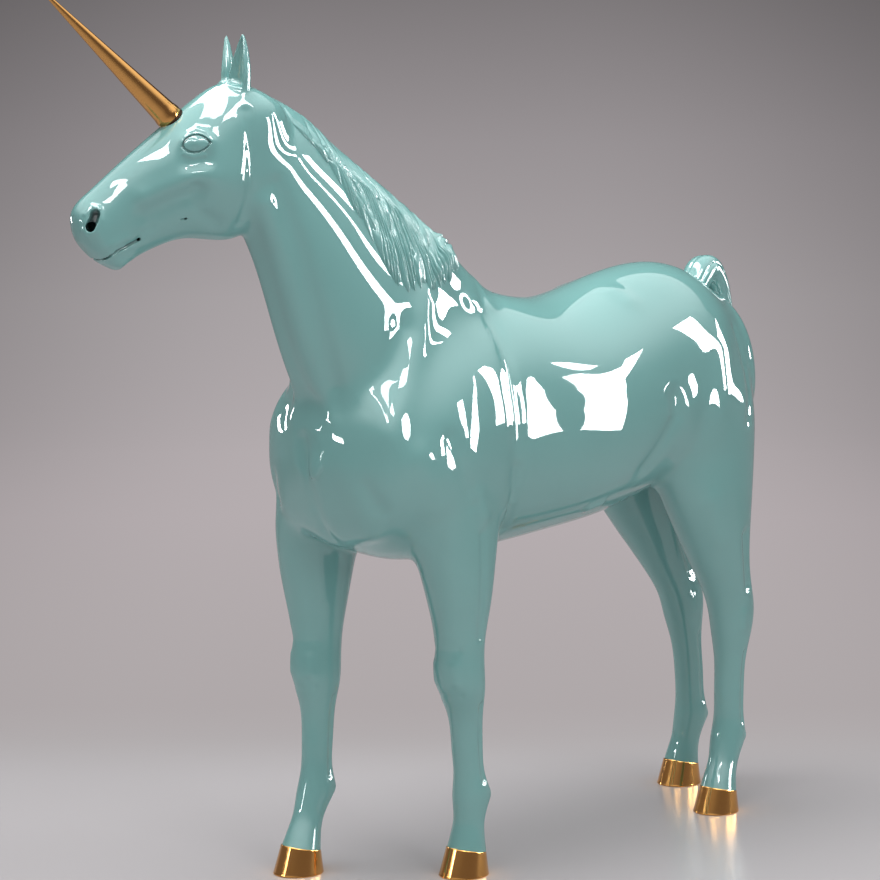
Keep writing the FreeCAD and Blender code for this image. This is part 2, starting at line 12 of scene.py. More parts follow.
import bmesh
import bpy
import numpy as np
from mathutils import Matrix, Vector

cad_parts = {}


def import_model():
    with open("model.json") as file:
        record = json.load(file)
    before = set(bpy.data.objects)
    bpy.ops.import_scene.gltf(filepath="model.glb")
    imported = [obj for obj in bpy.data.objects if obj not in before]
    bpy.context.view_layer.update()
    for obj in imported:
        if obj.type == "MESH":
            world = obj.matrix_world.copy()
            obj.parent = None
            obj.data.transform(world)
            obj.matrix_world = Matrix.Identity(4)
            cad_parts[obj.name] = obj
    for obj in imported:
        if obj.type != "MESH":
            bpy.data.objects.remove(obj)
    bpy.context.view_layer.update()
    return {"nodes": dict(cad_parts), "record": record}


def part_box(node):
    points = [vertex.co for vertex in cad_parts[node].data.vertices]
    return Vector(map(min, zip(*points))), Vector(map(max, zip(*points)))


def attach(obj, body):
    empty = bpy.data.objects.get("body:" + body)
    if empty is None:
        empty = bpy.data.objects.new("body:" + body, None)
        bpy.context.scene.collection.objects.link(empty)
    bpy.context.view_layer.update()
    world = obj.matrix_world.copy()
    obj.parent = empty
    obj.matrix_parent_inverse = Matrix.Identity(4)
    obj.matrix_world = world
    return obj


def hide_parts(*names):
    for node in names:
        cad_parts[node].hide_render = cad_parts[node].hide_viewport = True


log = logging.getLogger("unicorn")

# Half the width over which the skin's slope is taken for bores and reflections.
SLOPE_STEP = 0.004

Array = np.ndarray
Field = Callable[[Array], Array]
Point = tuple[float, float, float]
FAR = 9.0

# The figure's sizes in metres, as the solids have them.
WITHERS = 1.5
BODY_LENGTH = 1.6
BODY_WIDTH = 0.56
NECK_REACH, NECK_RISE, NECK_DEPTH, NECK_WIDTH = 0.63, 0.69, 0.615, 0.354
HEAD_LENGTH, HEAD_DEPTH, HEAD_WIDTH = 0.588, 0.330, 0.210
HEAD_TURN, HEAD_DIP = math.radians(-18.0), math.radians(38.5)
HORN_LEAN = math.radians(8.5)
HORN_ROOT_SHARE = 0.370
SOCKET_RADIUS, SOCKET_DEPTH = 0.0165, 0.06
HOOF_HEIGHT = 0.066
CORONET_TILT = math.radians(11.0)
FORE_FOOT_SHARES = (0.746, 0.287)
# Fillets between the forms, widest where trunk and neck meet.
NECK_FILLET, WITHERS_FILLET, LIMB_FILLET, HEAD_FILLET, EAR_FILLET = 0.10, 0.06, 0.07, 0.03, 0.025
# Room that a piece of skin has round a leg, and past a seam before it is cut there.
LIMB_ROOM, SEAM_ROOM = 0.03, 0.02
# Where the mouldings part: the waist's height, the neck's foot and pitch, and the place behind the head.
WAIST = 0.53 * WITHERS
NECK_SEAM, NECK_SEAM_PITCH = (0.640, 1.040), math.radians(64.7)
HEAD_SEAM = (0.898, -0.085, 1.0)
SEAM_LAP = 0.0006

# Trunk rings: along, top, bottom, half width.
TRUNK_RINGS = (
    (-0.004, 0.850, 0.775, 0.060), (0.006, 0.900, 0.740, 0.165), (0.056, 0.985, 0.700, 0.321),
    (0.141, 1.028, 0.670, 0.415), (0.253, 1.038, 0.620, 0.471), (0.384, 1.005, 0.582, 0.498),
    (0.506, 0.985, 0.565, 0.493), (0.609, 0.995, 0.553, 0.469), (0.722, 0.985, 0.545, 0.469),
    (0.834, 0.955, 0.548, 0.490), (0.919, 0.910, 0.575, 0.440), (0.975, 0.850, 0.635, 0.300),
    (0.996, 0.790, 0.700, 0.110))
WAIST_SHARE = 0.45
# Neck rings: forward, sideways, upward, pitch in degrees, half depth, half width.
NECK_FOOT = (0.722, 0.84)
NECK_RINGS = (
    (0.000, 0.000, 0.000, 14, 0.463, 0.440), (0.240, 0.000, 0.150, 30, 0.486, 0.500),
    (0.451, 0.000, 0.372, 42, 0.432, 0.400), (0.604, -0.017, 0.577, 50, 0.341, 0.315),
    (0.763, -0.059, 0.760, 52, 0.272, 0.268), (0.905, -0.102, 0.902, 50, 0.224, 0.240),
    (1.000, -0.136, 1.000, 48, 0.146, 0.180))
NECK_TAPER = 0.30
# The ridge of the withers: along and height of its two ends, then its half depth and half width.
WITHERS_RIDGE = ((0.612, 0.888), (0.792, 1.028))
WITHERS_SIZE = (0.130, 0.115)
# Head rings from the poll: along, drop of the brow, drop of the jaw, half width.
POLL = (0.988, -0.121, 1.180)
HEAD_RINGS = (
    (-0.025, 0.341, 0.568, 0.214), (0.037, 0.136, 0.750, 0.357), (0.123, 0.027, 0.886, 0.443),
    (0.246, 0.000, 0.964, 0.486), (0.393, 0.000, 1.000, 0.500), (0.492, 0.000, 0.955, 0.457),
    (0.627, 0.004, 0.748, 0.357), (0.738, 0.012, 0.655, 0.300), (0.836, 0.020, 0.612, 0.286),
    (0.910, 0.034, 0.596, 0.286), (0.962, 0.100, 0.535, 0.243), (0.994, 0.200, 0.410, 0.140))
HEAD_TAPER = -0.16


class Leg(Enum):
    """The four legs, by the name that their nodes carry."""

    FORE_LEFT = "foreleg_left"
    FORE_RIGHT = "foreleg_right"
    HIND_LEFT = "hindleg_left"
    HIND_RIGHT = "hindleg_right"

    @property
    def is_fore(self) -> bool:
        """Whether it is a foreleg."""
        return self.value.startswith("foreleg")

    @property
    def place(self) -> str:
        """The name's end that hoof and foot plate share with the leg."""
        return self.value.replace("leg", "")


# Leg rings: height, half length, half width. The last ring is the coronet.
FORE_FORM = (
    (0.800, 0.300, 0.230), (0.700, 0.470, 0.440), (0.620, 0.460, 0.500), (0.550, 0.385, 0.470),
    (0.470, 0.290, 0.400), (0.400, 0.228, 0.335), (0.360, 0.225, 0.345), (0.325, 0.210, 0.330),
    (0.290, 0.170, 0.258), (0.220, 0.145, 0.208), (0.170, 0.150, 0.217), (0.135, 0.177, 0.250),
    (0.115, 0.160, 0.232), (0.095, 0.143, 0.220), (0.073, 0.148, 0.240), (0.044, 0.172, 0.285))
HIND_FORM = (
    (0.920, 0.330, 0.240), (0.800, 0.488, 0.480), (0.700, 0.458, 0.417), (0.620, 0.400, 0.367),
    (0.540, 0.314, 0.306), (0.470, 0.240, 0.250), (0.420, 0.204, 0.211), (0.385, 0.190, 0.200),
    (0.340, 0.159, 0.189), (0.290, 0.121, 0.156), (0.220, 0.111, 0.144), (0.170, 0.114, 0.150),
    (0.130, 0.129, 0.168), (0.112, 0.118, 0.160), (0.092, 0.108, 0.153), (0.072, 0.110, 0.163),
    (0.044, 0.123, 0.190))
FORE_SIZE, HIND_SIZE = (0.300, 0.180), (0.420, 0.270)
# Leg lines: place along the body and to the side, ring by ring.
LEG_LINES: dict[Leg, tuple[tuple[float, float], ...]] = {
    Leg.FORE_LEFT: (
        (0.795, 0.180), (0.785, 0.262), (0.778, 0.292), (0.773, 0.300), (0.766, 0.300),
        (0.764, 0.295), (0.764, 0.295), (0.760, 0.295), (0.752, 0.292), (0.745, 0.289),
        (0.739, 0.287), (0.735, 0.287), (0.737, 0.287), (0.740, 0.287), (0.743, 0.287),
        (0.746, 0.287)),
    Leg.FORE_RIGHT: (
        (0.835, -0.180), (0.848, -0.290), (0.862, -0.336), (0.867, -0.350), (0.868, -0.350),
        (0.872, -0.340), (0.876, -0.335), (0.878, -0.327), (0.878, -0.321), (0.883, -0.308),
        (0.887, -0.300), (0.891, -0.295), (0.900, -0.291), (0.910, -0.286), (0.920, -0.280),
        (0.930, -0.273)),
    Leg.HIND_LEFT: (
        (0.180, 0.165), (0.174, 0.225), (0.163, 0.262), (0.158, 0.285), (0.139, 0.289),
        (0.115, 0.284), (0.092, 0.276), (0.079, 0.268), (0.075, 0.263), (0.075, 0.257),
        (0.075, 0.252), (0.075, 0.252), (0.080, 0.257), (0.088, 0.264), (0.098, 0.273),
        (0.108, 0.281), (0.117, 0.289)),
    Leg.HIND_RIGHT: (
        (0.180, -0.165), (0.160, -0.228), (0.143, -0.268), (0.124, -0.289), (0.088, -0.289),
        (0.050, -0.281), (0.022, -0.268), (0.005, -0.257), (-0.003, -0.252), (-0.010, -0.249),
        (-0.018, -0.246), (-0.022, -0.246), (-0.023, -0.246), (-0.019, -0.250), (-0.014, -0.254),
        (-0.009, -0.258), (-0.005, -0.263))}

EAR_HEIGHT, EAR_WIDTH, EAR_DEPTH, EAR_WALL = 0.148, 0.062, 0.046, 0.0045
EAR_ROOT = (0.098, 0.170, 0.190)
EAR_SPLAY = math.radians(4.0)
# Ear rings: height, half width, half depth, lean back.
EAR_RINGS = (
    (-0.15, 0.46, 0.50, 0.00), (0.00, 0.46, 0.50, 0.00), (0.25, 0.50, 0.50, 0.00), (0.50, 0.43, 0.44, 0.02),
    (0.72, 0.29, 0.31, 0.05), (0.90, 0.14, 0.16, 0.06), (1.00, 0.04, 0.05, 0.05))


class Spline:
    """A natural cubic curve through rows of values at rising places."""

    def __init__(self, knots: Sequence[float], rows: Sequence[Sequence[float]]) -> None:
        """Solve for the second derivatives.

        Args:
            knots: rising places of the rows.
            rows: one row of values for each knot.
        """
        self.knots = np.asarray(knots, float)
        self.rows = np.asarray(rows, float)
        count = len(self.knots)
        gaps = np.diff(self.knots)
        slopes = np.diff(self.rows, axis=0) / gaps[:, None]
        system, right = np.eye(count), np.zeros_like(self.rows)
        for i in range(1, count - 1):
            system[i, i - 1: i + 2] = gaps[i - 1], 2 * (gaps[i - 1] + gaps[i]), gaps[i]
            right[i] = 6 * (slopes[i] - slopes[i - 1])
        self.bend = np.linalg.solve(system, right)

    def __call__(self, places: Array) -> Array:
        """Values at places, which are clamped to the ends.

        Args:
            places: one place for each point.

        Returns:
            One row of values for each place.
        """
        at = np.clip(places, self.knots[0], self.knots[-1])
        i = np.clip(np.searchsorted(self.knots, at) - 1, 0, len(self.knots) - 2)
        gap = self.knots[i + 1] - self.knots[i]
        a = ((self.knots[i + 1] - at) / gap)[:, None]
        b = 1 - a
        curve = ((a**3 - a) * self.bend[i] + (b**3 - b) * self.bend[i + 1]) * (gap[:, None] ** 2) / 6
        return a * self.rows[i] + b * self.rows[i + 1] + curve


def oval(across: Array, up: Array, half_width: Array | float, half_height: Array | float) -> Array:
    """Signed distance, near enough, from an oval in its own plane.

    Args:
        across: place across the oval.
        up: place up the oval.
        half_width: half the width.
        half_height: half the height on the side where the point lies.

    Returns:
        Negative inside, positive outside.
    """
    u, v = across / half_width, up / half_height
    reach = np.sqrt(u * u + v * v) + 1e-6
    slope = np.sqrt((u / half_width) ** 2 + (v / half_height) ** 2) + 1e-3
    return (reach - 1) * reach / slope


def capped(distance: Array, beyond: Array, blend: float = 0.02) -> Array:
    """Close a swept form where it ends.

    Args:
        distance: distance from the sweep's side.
        beyond: how far past the sweep's end a point lies, negative before it.
        blend: radius of the rounded edge.

    Returns:
        Signed distance from the closed form.
    """
    return -smooth_min(-distance, -beyond, blend)


def smooth_min(a: Array, b: Array, blend: float) -> Array:
    """The nearer of two forms, filleted where they meet.

    Args:
        a: distance from one form.
        b: distance from the other.
        blend: width of the fillet.

    Returns:
        Signed distance from the joined form.
    """
    h = np.clip(blend - np.abs(a - b), 0, None) / blend
    return np.minimum(a, b) - h * h * h * blend / 6


class Twin(Enum):
    """Where a stroke is repeated on the animal's other side."""

    NONE = "none"
    BODY = "body"
    HEAD = "head"


@dataclass(frozen=True)
class Stroke:
    """One sculpting stroke: a rise or groove along a line on the skin.

    Attributes:
        line: the places it runs through, in the row frame.
        radius: how wide it is.
        height: how far it lifts the skin, negative for a groove.
        twin: the plane that it is mirrored in.
        bore: whether it is a hole along the line.
    """

    line: tuple[Point, ...]
    radius: float
    height: float
    twin: Twin = Twin.BODY
    bore: bool = False

    # How many radii a stroke reaches, and the fillet round a bore's mouth.
    REACH = 2.6
    MOUTH_FILLET = 0.002

    def touches(self, low: Array, high: Array) -> bool:
        """Whether the stroke reaches into a box."""
        line, room = np.asarray(self.line, float), self.REACH * self.radius
        return bool(np.all((line.max(0) + room > low) & (line.min(0) - room < high)))

    def work(self, skin: Array, points: Array) -> None:
        """Lift or bore the skin at points.

        Args:
            skin: distances from the skin, changed in place.
            points: places in the row frame.
        """
        line, room = np.asarray(self.line, float), self.REACH * self.radius
        near = np.flatnonzero(np.all((points > line.min(0) - room) & (points < line.max(0) + room), axis=1))
        if not len(near):
            return
        p = points[near]
        best = np.full(len(p), 1e9)
        if len(line) == 1:
            best = np.sum((p - line[0]) ** 2, axis=1)
        for start, end in zip(line[:-1], line[1:]):
            run = end - start
            t = np.clip((p - start) @ run / (run @ run), 0, 1)
            best = np.minimum(best, np.sum((p - start - t[:, None] * run) ** 2, axis=1))
        if self.bore:
            skin[near] = -smooth_min(-skin[near], np.sqrt(best) - self.radius, self.MOUTH_FILLET)
        else:
            skin[near] -= self.height * np.exp(-best / self.radius**2)


class Anatomy:
    """The animal's skin as one smooth implicit form."""

    # Legs are worked out only below this height, and this near to their own line.
    LEG_TOP, LEG_ROOM = 1.55, 0.38
    EARS_ABOVE = 1.7
    # Sight lines: where they start before the figure, how many steps they take, and how long each is.
    SIGHT_START, SIGHT_STEPS, SIGHT_SHARE, SIGHT_LONGEST = 2.2, 90, 0.7, 0.05
    # How far below the skin the painted shade in a hollow begins, and over what depth it reaches full
    # darkness.
    HOLLOW_START, HOLLOW_RUN = 0.001, 0.009

    def __init__(self, shift: Array, strokes: Sequence[Stroke] = ()) -> None:
        """Lay out the splines.

        Args:
            shift: place of the body's zero point in the row frame.
            strokes: sculpting on the skin.
        """
        self.shift = shift
        self.strokes: tuple[Stroke, ...] = tuple(strokes)
        turn, dip = HEAD_TURN, HEAD_DIP
        self.face = np.array([math.cos(dip) * math.cos(turn), math.cos(dip) * math.sin(turn), -math.sin(dip)])
        self.side = np.array([-math.sin(turn), math.cos(turn), 0.0])
        self.brow = np.cross(self.face, self.side)
        self.poll = self.neck_place(*POLL)
        trunk = np.array(TRUNK_RINGS)
        waist = trunk[:, 2] + WAIST_SHARE * (trunk[:, 1] - trunk[:, 2])
        above, below = trunk[:, 1] - waist, waist - trunk[:, 2]
        self.trunk = Spline(trunk[:, 0] * BODY_LENGTH, np.column_stack(
            [waist * WITHERS, above * WITHERS, below * WITHERS, trunk[:, 3] * BODY_WIDTH]))
        neck = np.array(NECK_RINGS)
        spots = np.array([self.neck_place(*row[:3]) for row in neck])
        run = np.concatenate([[0], np.cumsum(np.linalg.norm(np.diff(spots, axis=0), axis=1))])
        self.neck = Spline(run, np.column_stack(
            [spots, np.radians(neck[:, 3]), neck[:, 4] * NECK_DEPTH, neck[:, 5] * NECK_WIDTH]))
        head = np.array(HEAD_RINGS)
        middle, half = (head[:, 1] + head[:, 2]) / 2, (head[:, 2] - head[:, 1]) / 2
        self.head = Spline(head[:, 0] * HEAD_LENGTH, np.column_stack(
            [middle * HEAD_DEPTH, half * HEAD_DEPTH, head[:, 3] * HEAD_WIDTH]))
        ears = np.array(EAR_RINGS)
        self.ear = Spline(ears[:, 0] * EAR_HEIGHT, np.column_stack(
            [ears[:, 1] * EAR_WIDTH, ears[:, 2] * EAR_DEPTH, ears[:, 3] * EAR_DEPTH]))
        self.legs = {leg: self._leg_spline(leg) for leg in Leg}

    def neck_place(self, forward: float, side: float, rise: float) -> Array:
        """A place given in the neck's own shares.

        Args:
            forward: share of the neck's reach.
            side: share of its width.
            rise: share of its rise.

        Returns:
            The place in the row frame.
        """
        return self.shift + np.array([NECK_FOOT[0] * BODY_LENGTH + forward * NECK_REACH, side * NECK_WIDTH,
                                      NECK_FOOT[1] * WITHERS + rise * NECK_RISE])

    def head_place(self, along: float, drop: float, side: float = 0.0) -> Array:
        """A place given in metres along the face, below the brow and to the head's left."""
        return self.poll + self.face * along - self.brow * drop + self.side * side

    def _leg_spline(self, leg: Leg) -> Spline:
        """The rings of one leg over height."""
        form, (depth, width) = (FORE_FORM, FORE_SIZE) if leg.is_fore else (HIND_FORM, HIND_SIZE)
        x, y = self.shift[:2]
        rows = [
            (along * BODY_LENGTH + x, aside * BODY_WIDTH + y, ring[1] * depth, ring[2] * width)
            for ring, (along, aside) in zip(form, LEG_LINES[leg])]
        return Spline([ring[0] * WITHERS for ring in reversed(form)], rows[::-1])

    def trunk_field(self, p: Array) -> Array:
        """Distance from barrel, chest and croup."""
        x = p[:, 0] - self.shift[0]
        row = self.trunk(x)
        up = p[:, 2] - row[:, 0]
        half = np.where(up > 0, row[:, 1], row[:, 2])
        side = oval(p[:, 1] - self.shift[1], up, np.maximum(row[:, 3], 0.01), np.maximum(half, 0.01))
        ends = self.trunk.knots[0], self.trunk.knots[-1]
        return capped(side, np.maximum(ends[0] - x, x - ends[1]))

    def neck_field(self, p: Array) -> Array:
        """Distance from the neck, whose rings lie at their own pitch."""
        ends = self.neck.knots[0], self.neck.knots[-1]
        foot = self.neck(np.array([ends[0], ends[1]]))[:, :3]
        run = foot[1] - foot[0]
        u = np.clip((p - foot[0]) @ run / (run @ run), 0, 1) * ends[1]
        miss = np.zeros(len(p))
        for _ in range(5):
            row = self.neck(u)
            along = np.column_stack([np.cos(row[:, 3]), np.zeros(len(p)), np.sin(row[:, 3])])
            miss = np.sum((p - row[:, :3]) * along, axis=1)
            u = np.clip(u + 0.8 * miss, *ends)
        row = self.neck(u)
        away = p - row[:, :3]
        sine, cosine = np.sin(row[:, 3]), np.cos(row[:, 3])
        up = away[:, 2] * cosine - away[:, 0] * sine
        beyond = np.abs(away[:, 0] * cosine + away[:, 2] * sine)
        narrow = 1 - NECK_TAPER * np.clip(up / row[:, 4], -1, 1)
        side = oval(away[:, 1], up, row[:, 5] * narrow, row[:, 4])
        return capped(side, np.where(beyond > 1e-3, beyond, -1.0))

    def withers_field(self, p: Array) -> Array:
        """Distance from the ridge that carries the crest down to the back."""
        (low_x, low_z), (high_x, high_z) = WITHERS_RIDGE
        start = self.shift + np.array([low_x * BODY_LENGTH, 0.0, low_z * WITHERS])
        run = self.shift + np.array([high_x * BODY_LENGTH, 0.0, high_z * WITHERS]) - start
        length = float(np.linalg.norm(run))
        run /= length
        away = p - start
        along = away @ run
        up = away[:, 2] * run[0] - away[:, 0] * run[2]
        depth, width = WITHERS_SIZE
        return capped(oval(away[:, 1], up, width, depth), np.maximum(-along, along - length))

    def head_field(self, p: Array) -> Array:
        """Distance from skull and muzzle."""
        away = p - self.poll
        along = away @ self.face
        row = self.head(along)
        up = away @ self.brow + row[:, 0]
        narrow = 1 - HEAD_TAPER * np.clip(up / row[:, 1], -1, 1)
        side = oval(away @ self.side, up, row[:, 2] * narrow, row[:, 1])
        ends = self.head.knots[0], self.head.knots[-1]
        return capped(side, np.maximum(ends[0] - along, along - ends[1]))

    def leg_field(self, leg: Leg, p: Array) -> Array:
        """Distance from one leg."""
        spline = self.legs[leg]
        row = spline(p[:, 2])
        side = oval(p[:, 1] - row[:, 1], p[:, 0] - row[:, 0], row[:, 3], row[:, 2])
        return capped(side, np.maximum(spline.knots[0] - 0.05 - p[:, 2], p[:, 2] - spline.knots[-1]))

    def __call__(self, p: Array) -> Array:
        """Distance from the whole skin with its sculpting.

        Args:
            p: places in the row frame.

        Returns:
            Negative inside the skin, positive outside.
        """
        body = smooth_min(self.trunk_field(p), self.neck_field(p), NECK_FILLET)
        body = smooth_min(body, self.withers_field(p), WITHERS_FILLET)
        for leg in Leg:
            line = self.legs[leg].rows[:, 0]
            rear, front = line.min() - self.LEG_ROOM, line.max() + self.LEG_ROOM
            near = (p[:, 2] < self.LEG_TOP) & (p[:, 0] > rear) & (p[:, 0] < front)
            limb = np.full(len(p), FAR)
            limb[near] = self.leg_field(leg, p[near])
            body = smooth_min(body, limb, LIMB_FILLET)
        body = smooth_min(body, self.head_field(p), HEAD_FILLET)
        flipped = {Twin.BODY: self.reflected(p, self.shift, np.array([0.0, 1.0, 0.0])),
                   Twin.HEAD: self.reflected(p, self.poll, self.side)}
        if len(p):
            boxes = {twin: (points.min(0), points.max(0)) for twin, points in flipped.items()}
            low, high = p.min(0), p.max(0)
        for stroke in self.strokes if len(p) else ():
            if stroke.touches(low, high):
                stroke.work(body, p)
            if stroke.twin in flipped and stroke.touches(*boxes[stroke.twin]):
                stroke.work(body, flipped[stroke.twin])
        away = p - self.head_place(HORN_ROOT_SHARE * HEAD_LENGTH, 0.0)
        axis = self.brow * math.cos(HORN_LEAN) + self.face * math.sin(HORN_LEAN)
        along = away @ axis
        off = np.sqrt(np.maximum(np.sum(away**2, axis=1) - along**2, 0))
        body = np.where(np.abs(along) < SOCKET_DEPTH, np.maximum(body, SOCKET_RADIUS - off), body)
        near = p[:, 2] > self.EARS_ABOVE
        if near.any():
            top, high = p[near], body[near]
            for side in (1, -1):
                high = smooth_min(high, self.ear_field(side, top), EAR_FILLET)
            body[near] = high
        return body

    def hollow(self, p: Array) -> Array:
        """How deep places lie in a bored hollow, from 0 at the skin to 1 well inside, as the mask for the
        painted shade in hollows.
        """
        plain = Anatomy(self.shift, [stroke for stroke in self.strokes if not stroke.bore])
        return np.clip((-plain(p) - self.HOLLOW_START) / self.HOLLOW_RUN, 0, 1)

    @staticmethod
    def reflected(p: Array, at: Array, normal: Array) -> Array:
        """Points mirrored in a plane through a place."""
        return p - 2 * ((p - at) @ normal)[:, None] * normal

    def ear_field(self, side: int, p: Array) -> Array:
        """Distance from one ear, scooped out at its front.

        Args:
            side: 1 for the left ear, -1 for the right.
            p: places in the row frame.

        Returns:
            Signed distance.
        """
        along, drop, aside = EAR_ROOT
        root = self.head_place(along * HEAD_LENGTH, drop * HEAD_DEPTH, side * aside * HEAD_WIDTH)
        up = np.array([0, side * math.sin(EAR_SPLAY), math.cos(EAR_SPLAY)])
        ahead = np.cross(self.side, up) + 0.35 * side * self.side
        ahead /= np.linalg.norm(ahead)
        across = np.cross(up, ahead)
        away = p - root
        rise = away @ up
        row = self.ear(rise)
        depth = away @ ahead + row[:, 2]
        beyond = np.maximum(self.ear.knots[0] - rise, rise - self.ear.knots[-1])
        shell = capped(oval(away @ across, depth, row[:, 0], row[:, 1]), beyond, 0.004)
        inner = oval(away @ across, depth - 0.9 * row[:, 1],
                     np.maximum(row[:, 0] - EAR_WALL, 0.002), np.maximum(row[:, 1], 0.002))
        scoop = np.maximum(inner, 0.02 - rise)
        return -smooth_min(-shell, scoop, 0.005)

    def seen(self, eye: Array, ways: Array) -> Array:
        """Where sight lines first meet the skin.

        Args:
            eye: the camera's place.
            ways: unit directions, one for each line.

        Returns:
            One place for each line.
        """
        reach = np.full(len(ways), np.linalg.norm(eye) - self.SIGHT_START)
        for _ in range(self.SIGHT_STEPS):
            gap = self(eye + ways * reach[:, None])
            reach = reach + np.clip(self.SIGHT_SHARE * gap, -self.SIGHT_LONGEST, self.SIGHT_LONGEST)
        return eye + ways * reach[:, None]


def unit(vectors: Array) -> Array:
    """Vectors brought to a length of one, row by row."""
    return vectors / np.linalg.norm(vectors, axis=-1, keepdims=True)


def direction(azimuth: Array | float, elevation: Array | float) -> Array:
    """Unit directions at angles in radians."""
    level = np.cos(elevation)
    return np.stack([np.cos(azimuth) * level, np.sin(azimuth) * level, np.sin(elevation)], -1)


def gradient(field: Field, p: Array, step: float = 0.0008) -> Array:
    """Slope of a field at points.

    Args:
        field: signed distance.
        p: points.
        step: half the width that is measured over.

    Returns:
        One vector for each point.
    """
    corners = np.array([[1, -1, -1], [-1, -1, 1], [-1, 1, -1], [1, 1, 1]], float)
    total = np.zeros_like(p)
    for corner in corners:
        total += corner * field(p + corner * step)[:, None]
    return total / (4 * step)


def settle(field: Field, p: Array, rounds: int = 3) -> Array:
    """Move points onto the surface where a field is zero.

    Args:
        field: signed distance.
        p: points near the surface.
        rounds: how many steps to take.

    Returns:
        The moved points.
    """
    for _ in range(rounds):
        slope = gradient(field, p)
        size = np.sum(slope * slope, axis=1) + 1e-9
        step = -(field(p) / size)[:, None] * slope
        long = np.linalg.norm(step, axis=1, keepdims=True)
        p = p + step * np.minimum(1, 0.01 / np.maximum(long, 1e-9))
    return p


# Grid points along each side of a block that is worked out at once.
BLOCK = 8
# How often a search along a ray is halved.
HALVINGS = 14


def sampled(field: Field, low: Array, counts: Array, cell: float) -> Array:
    """A field over a grid, worked out in full only in blocks near the surface.

    Args:
        field: signed distance.
        low: the grid's lowest corner.
        counts: grid points along each axis, a multiple of the block.
        cell: spacing of the grid.

    Returns:
        The field's values on the grid.
    """
    blocks = counts // BLOCK
    index = np.stack(np.meshgrid(*[np.arange(n) for n in blocks], indexing="ij"), -1).reshape(-1, 3)
    rough = field(low + (index * BLOCK + BLOCK / 2) * cell)
    grid = rough.reshape(blocks).repeat(BLOCK, 0).repeat(BLOCK, 1).repeat(BLOCK, 2)
    live = index[np.abs(rough) < BLOCK * cell * 1.25]
    inner = np.stack(np.meshgrid(*[np.arange(BLOCK)] * 3, indexing="ij"), -1).reshape(-1, 3)
    for part in np.array_split(live, max(1, len(live) // 400)):
        spots = (part[:, None, :] * BLOCK + inner[None]).reshape(-1, 3)
        grid[tuple(spots.T)] = field(low + spots * cell)
    return grid


def surface(field: Field, low: Sequence[float], high: Sequence[float], cell: float) -> tuple[Array, Array]:
    """Quads over the surface where a field is zero, by surface nets.

    Args:
        field: signed distance.
        low: lowest corner of the room that is searched.
        high: highest corner.
        cell: size of the quads.

    Returns:
        The vertices and the quads.
    """
    start = np.asarray(low, float)
    counts = (np.ceil((np.asarray(high, float) - start) / cell / BLOCK).astype(int) + 1) * BLOCK
    values = sampled(field, start, counts, cell)
    inside = values < 0
    total = np.zeros(tuple(counts - 1) + (3,), np.float32)
    hits = np.zeros(tuple(counts - 1), np.float32)
    cross = []
    for axis in range(3):
        here = np.moveaxis(values, axis, 0)
        flip = np.moveaxis(inside, axis, 0)
        a, b = here[:-1], here[1:]
        change = flip[:-1] != flip[1:]
        cross.append((change, flip[:-1]))
        part = np.where(change, a / np.where(change, a - b, 1), 0)
        others = [k for k in range(3) if k != axis]
        wide, tall = change.shape[1] - 1, change.shape[2] - 1
        for first in (0, 1):
            for second in (0, 1):
                window = (slice(None), slice(first, wide + first), slice(second, tall + second))
                seen = np.moveaxis(change[window], 0, axis)
                hits += seen
                total[..., axis] += np.moveaxis(part[window], 0, axis)
                total[..., others[0]] += seen * first
                total[..., others[1]] += seen * second
    filled = hits > 0
    number = np.full(hits.shape, -1, np.int64)
    number[filled] = np.arange(filled.sum())
    vertices = start + (np.argwhere(filled) + total[filled] / hits[filled][:, None]) * cell
    quads = []
    for axis, (change, within) in enumerate(cross):
        cells = np.moveaxis(number, axis, 0)
        core = change[:, 1:-1, 1:-1]
        i, j, k = np.nonzero(core)
        ring = np.stack([cells[i, j, k], cells[i, j + 1, k], cells[i, j + 1, k + 1], cells[i, j, k + 1]], 1)
        turned = within[:, 1:-1, 1:-1][i, j, k] == (axis != 1)
        quads.append(np.where(turned[:, None], ring, ring[:, ::-1]))
    faces = np.concatenate(quads)
    return vertices, faces[(faces >= 0).all(axis=1)]


def relaxed(field: Field, vertices: Array, faces: Array, rounds: int = 2) -> Array:
    """Even out the quads along the surface.

    Args:
        field: signed distance.
        vertices: points on the surface.
        faces: quads over them.
        rounds: how many times.

    Returns:
        The moved vertices.
    """
    corners, count = faces.ravel(), len(vertices)
    share = np.bincount(corners, minlength=count)[:, None]
    for _ in range(rounds):
        middle = vertices[faces].mean(axis=1)
        pull = np.stack([np.bincount(corners, np.repeat(middle[:, k], 4), count) for k in range(3)], 1)
        vertices = settle(field, np.where(share > 0, pull / np.maximum(share, 1), vertices), 1)
    return vertices


def strips(along: int, around: int, closed: bool = True) -> Array:
    """Quads over rings of points.

    Args:
        along: how many rings.
        around: how many points in each.
        closed: whether each ring's last point joins its first.

    Returns:
        The vertex numbers of each quad.
    """
    index = np.arange(along * around).reshape(along, around)
    after = np.roll(index, -1, axis=1)
    faces = np.stack([index[:-1], index[1:], after[1:], after[:-1]], -1)
    return (faces if closed else faces[:, :-1]).reshape(-1, 4)


def mesh_object(
        name: str, vertices: Array, faces: Sequence[Sequence[int]],
        normals: Array | None = None) -> bpy.types.Object:
    """A shown mesh.

    Args:
        name: name of the object and its mesh.
        vertices: places in the row frame.
        faces: vertex numbers of each face.
        normals: shading normals, one for each vertex.

    Returns:
        The object, linked to the scene.
    """
    mesh = bpy.data.meshes.new(name)
    mesh.from_pydata(vertices.tolist(), [], faces)
    mesh.update()
    mesh.shade_smooth()
    if normals is not None:
        mesh.normals_split_custom_set_from_vertices(normals)
    thing = bpy.data.objects.new(name, mesh)
    bpy.context.scene.collection.objects.link(thing)
    return thing


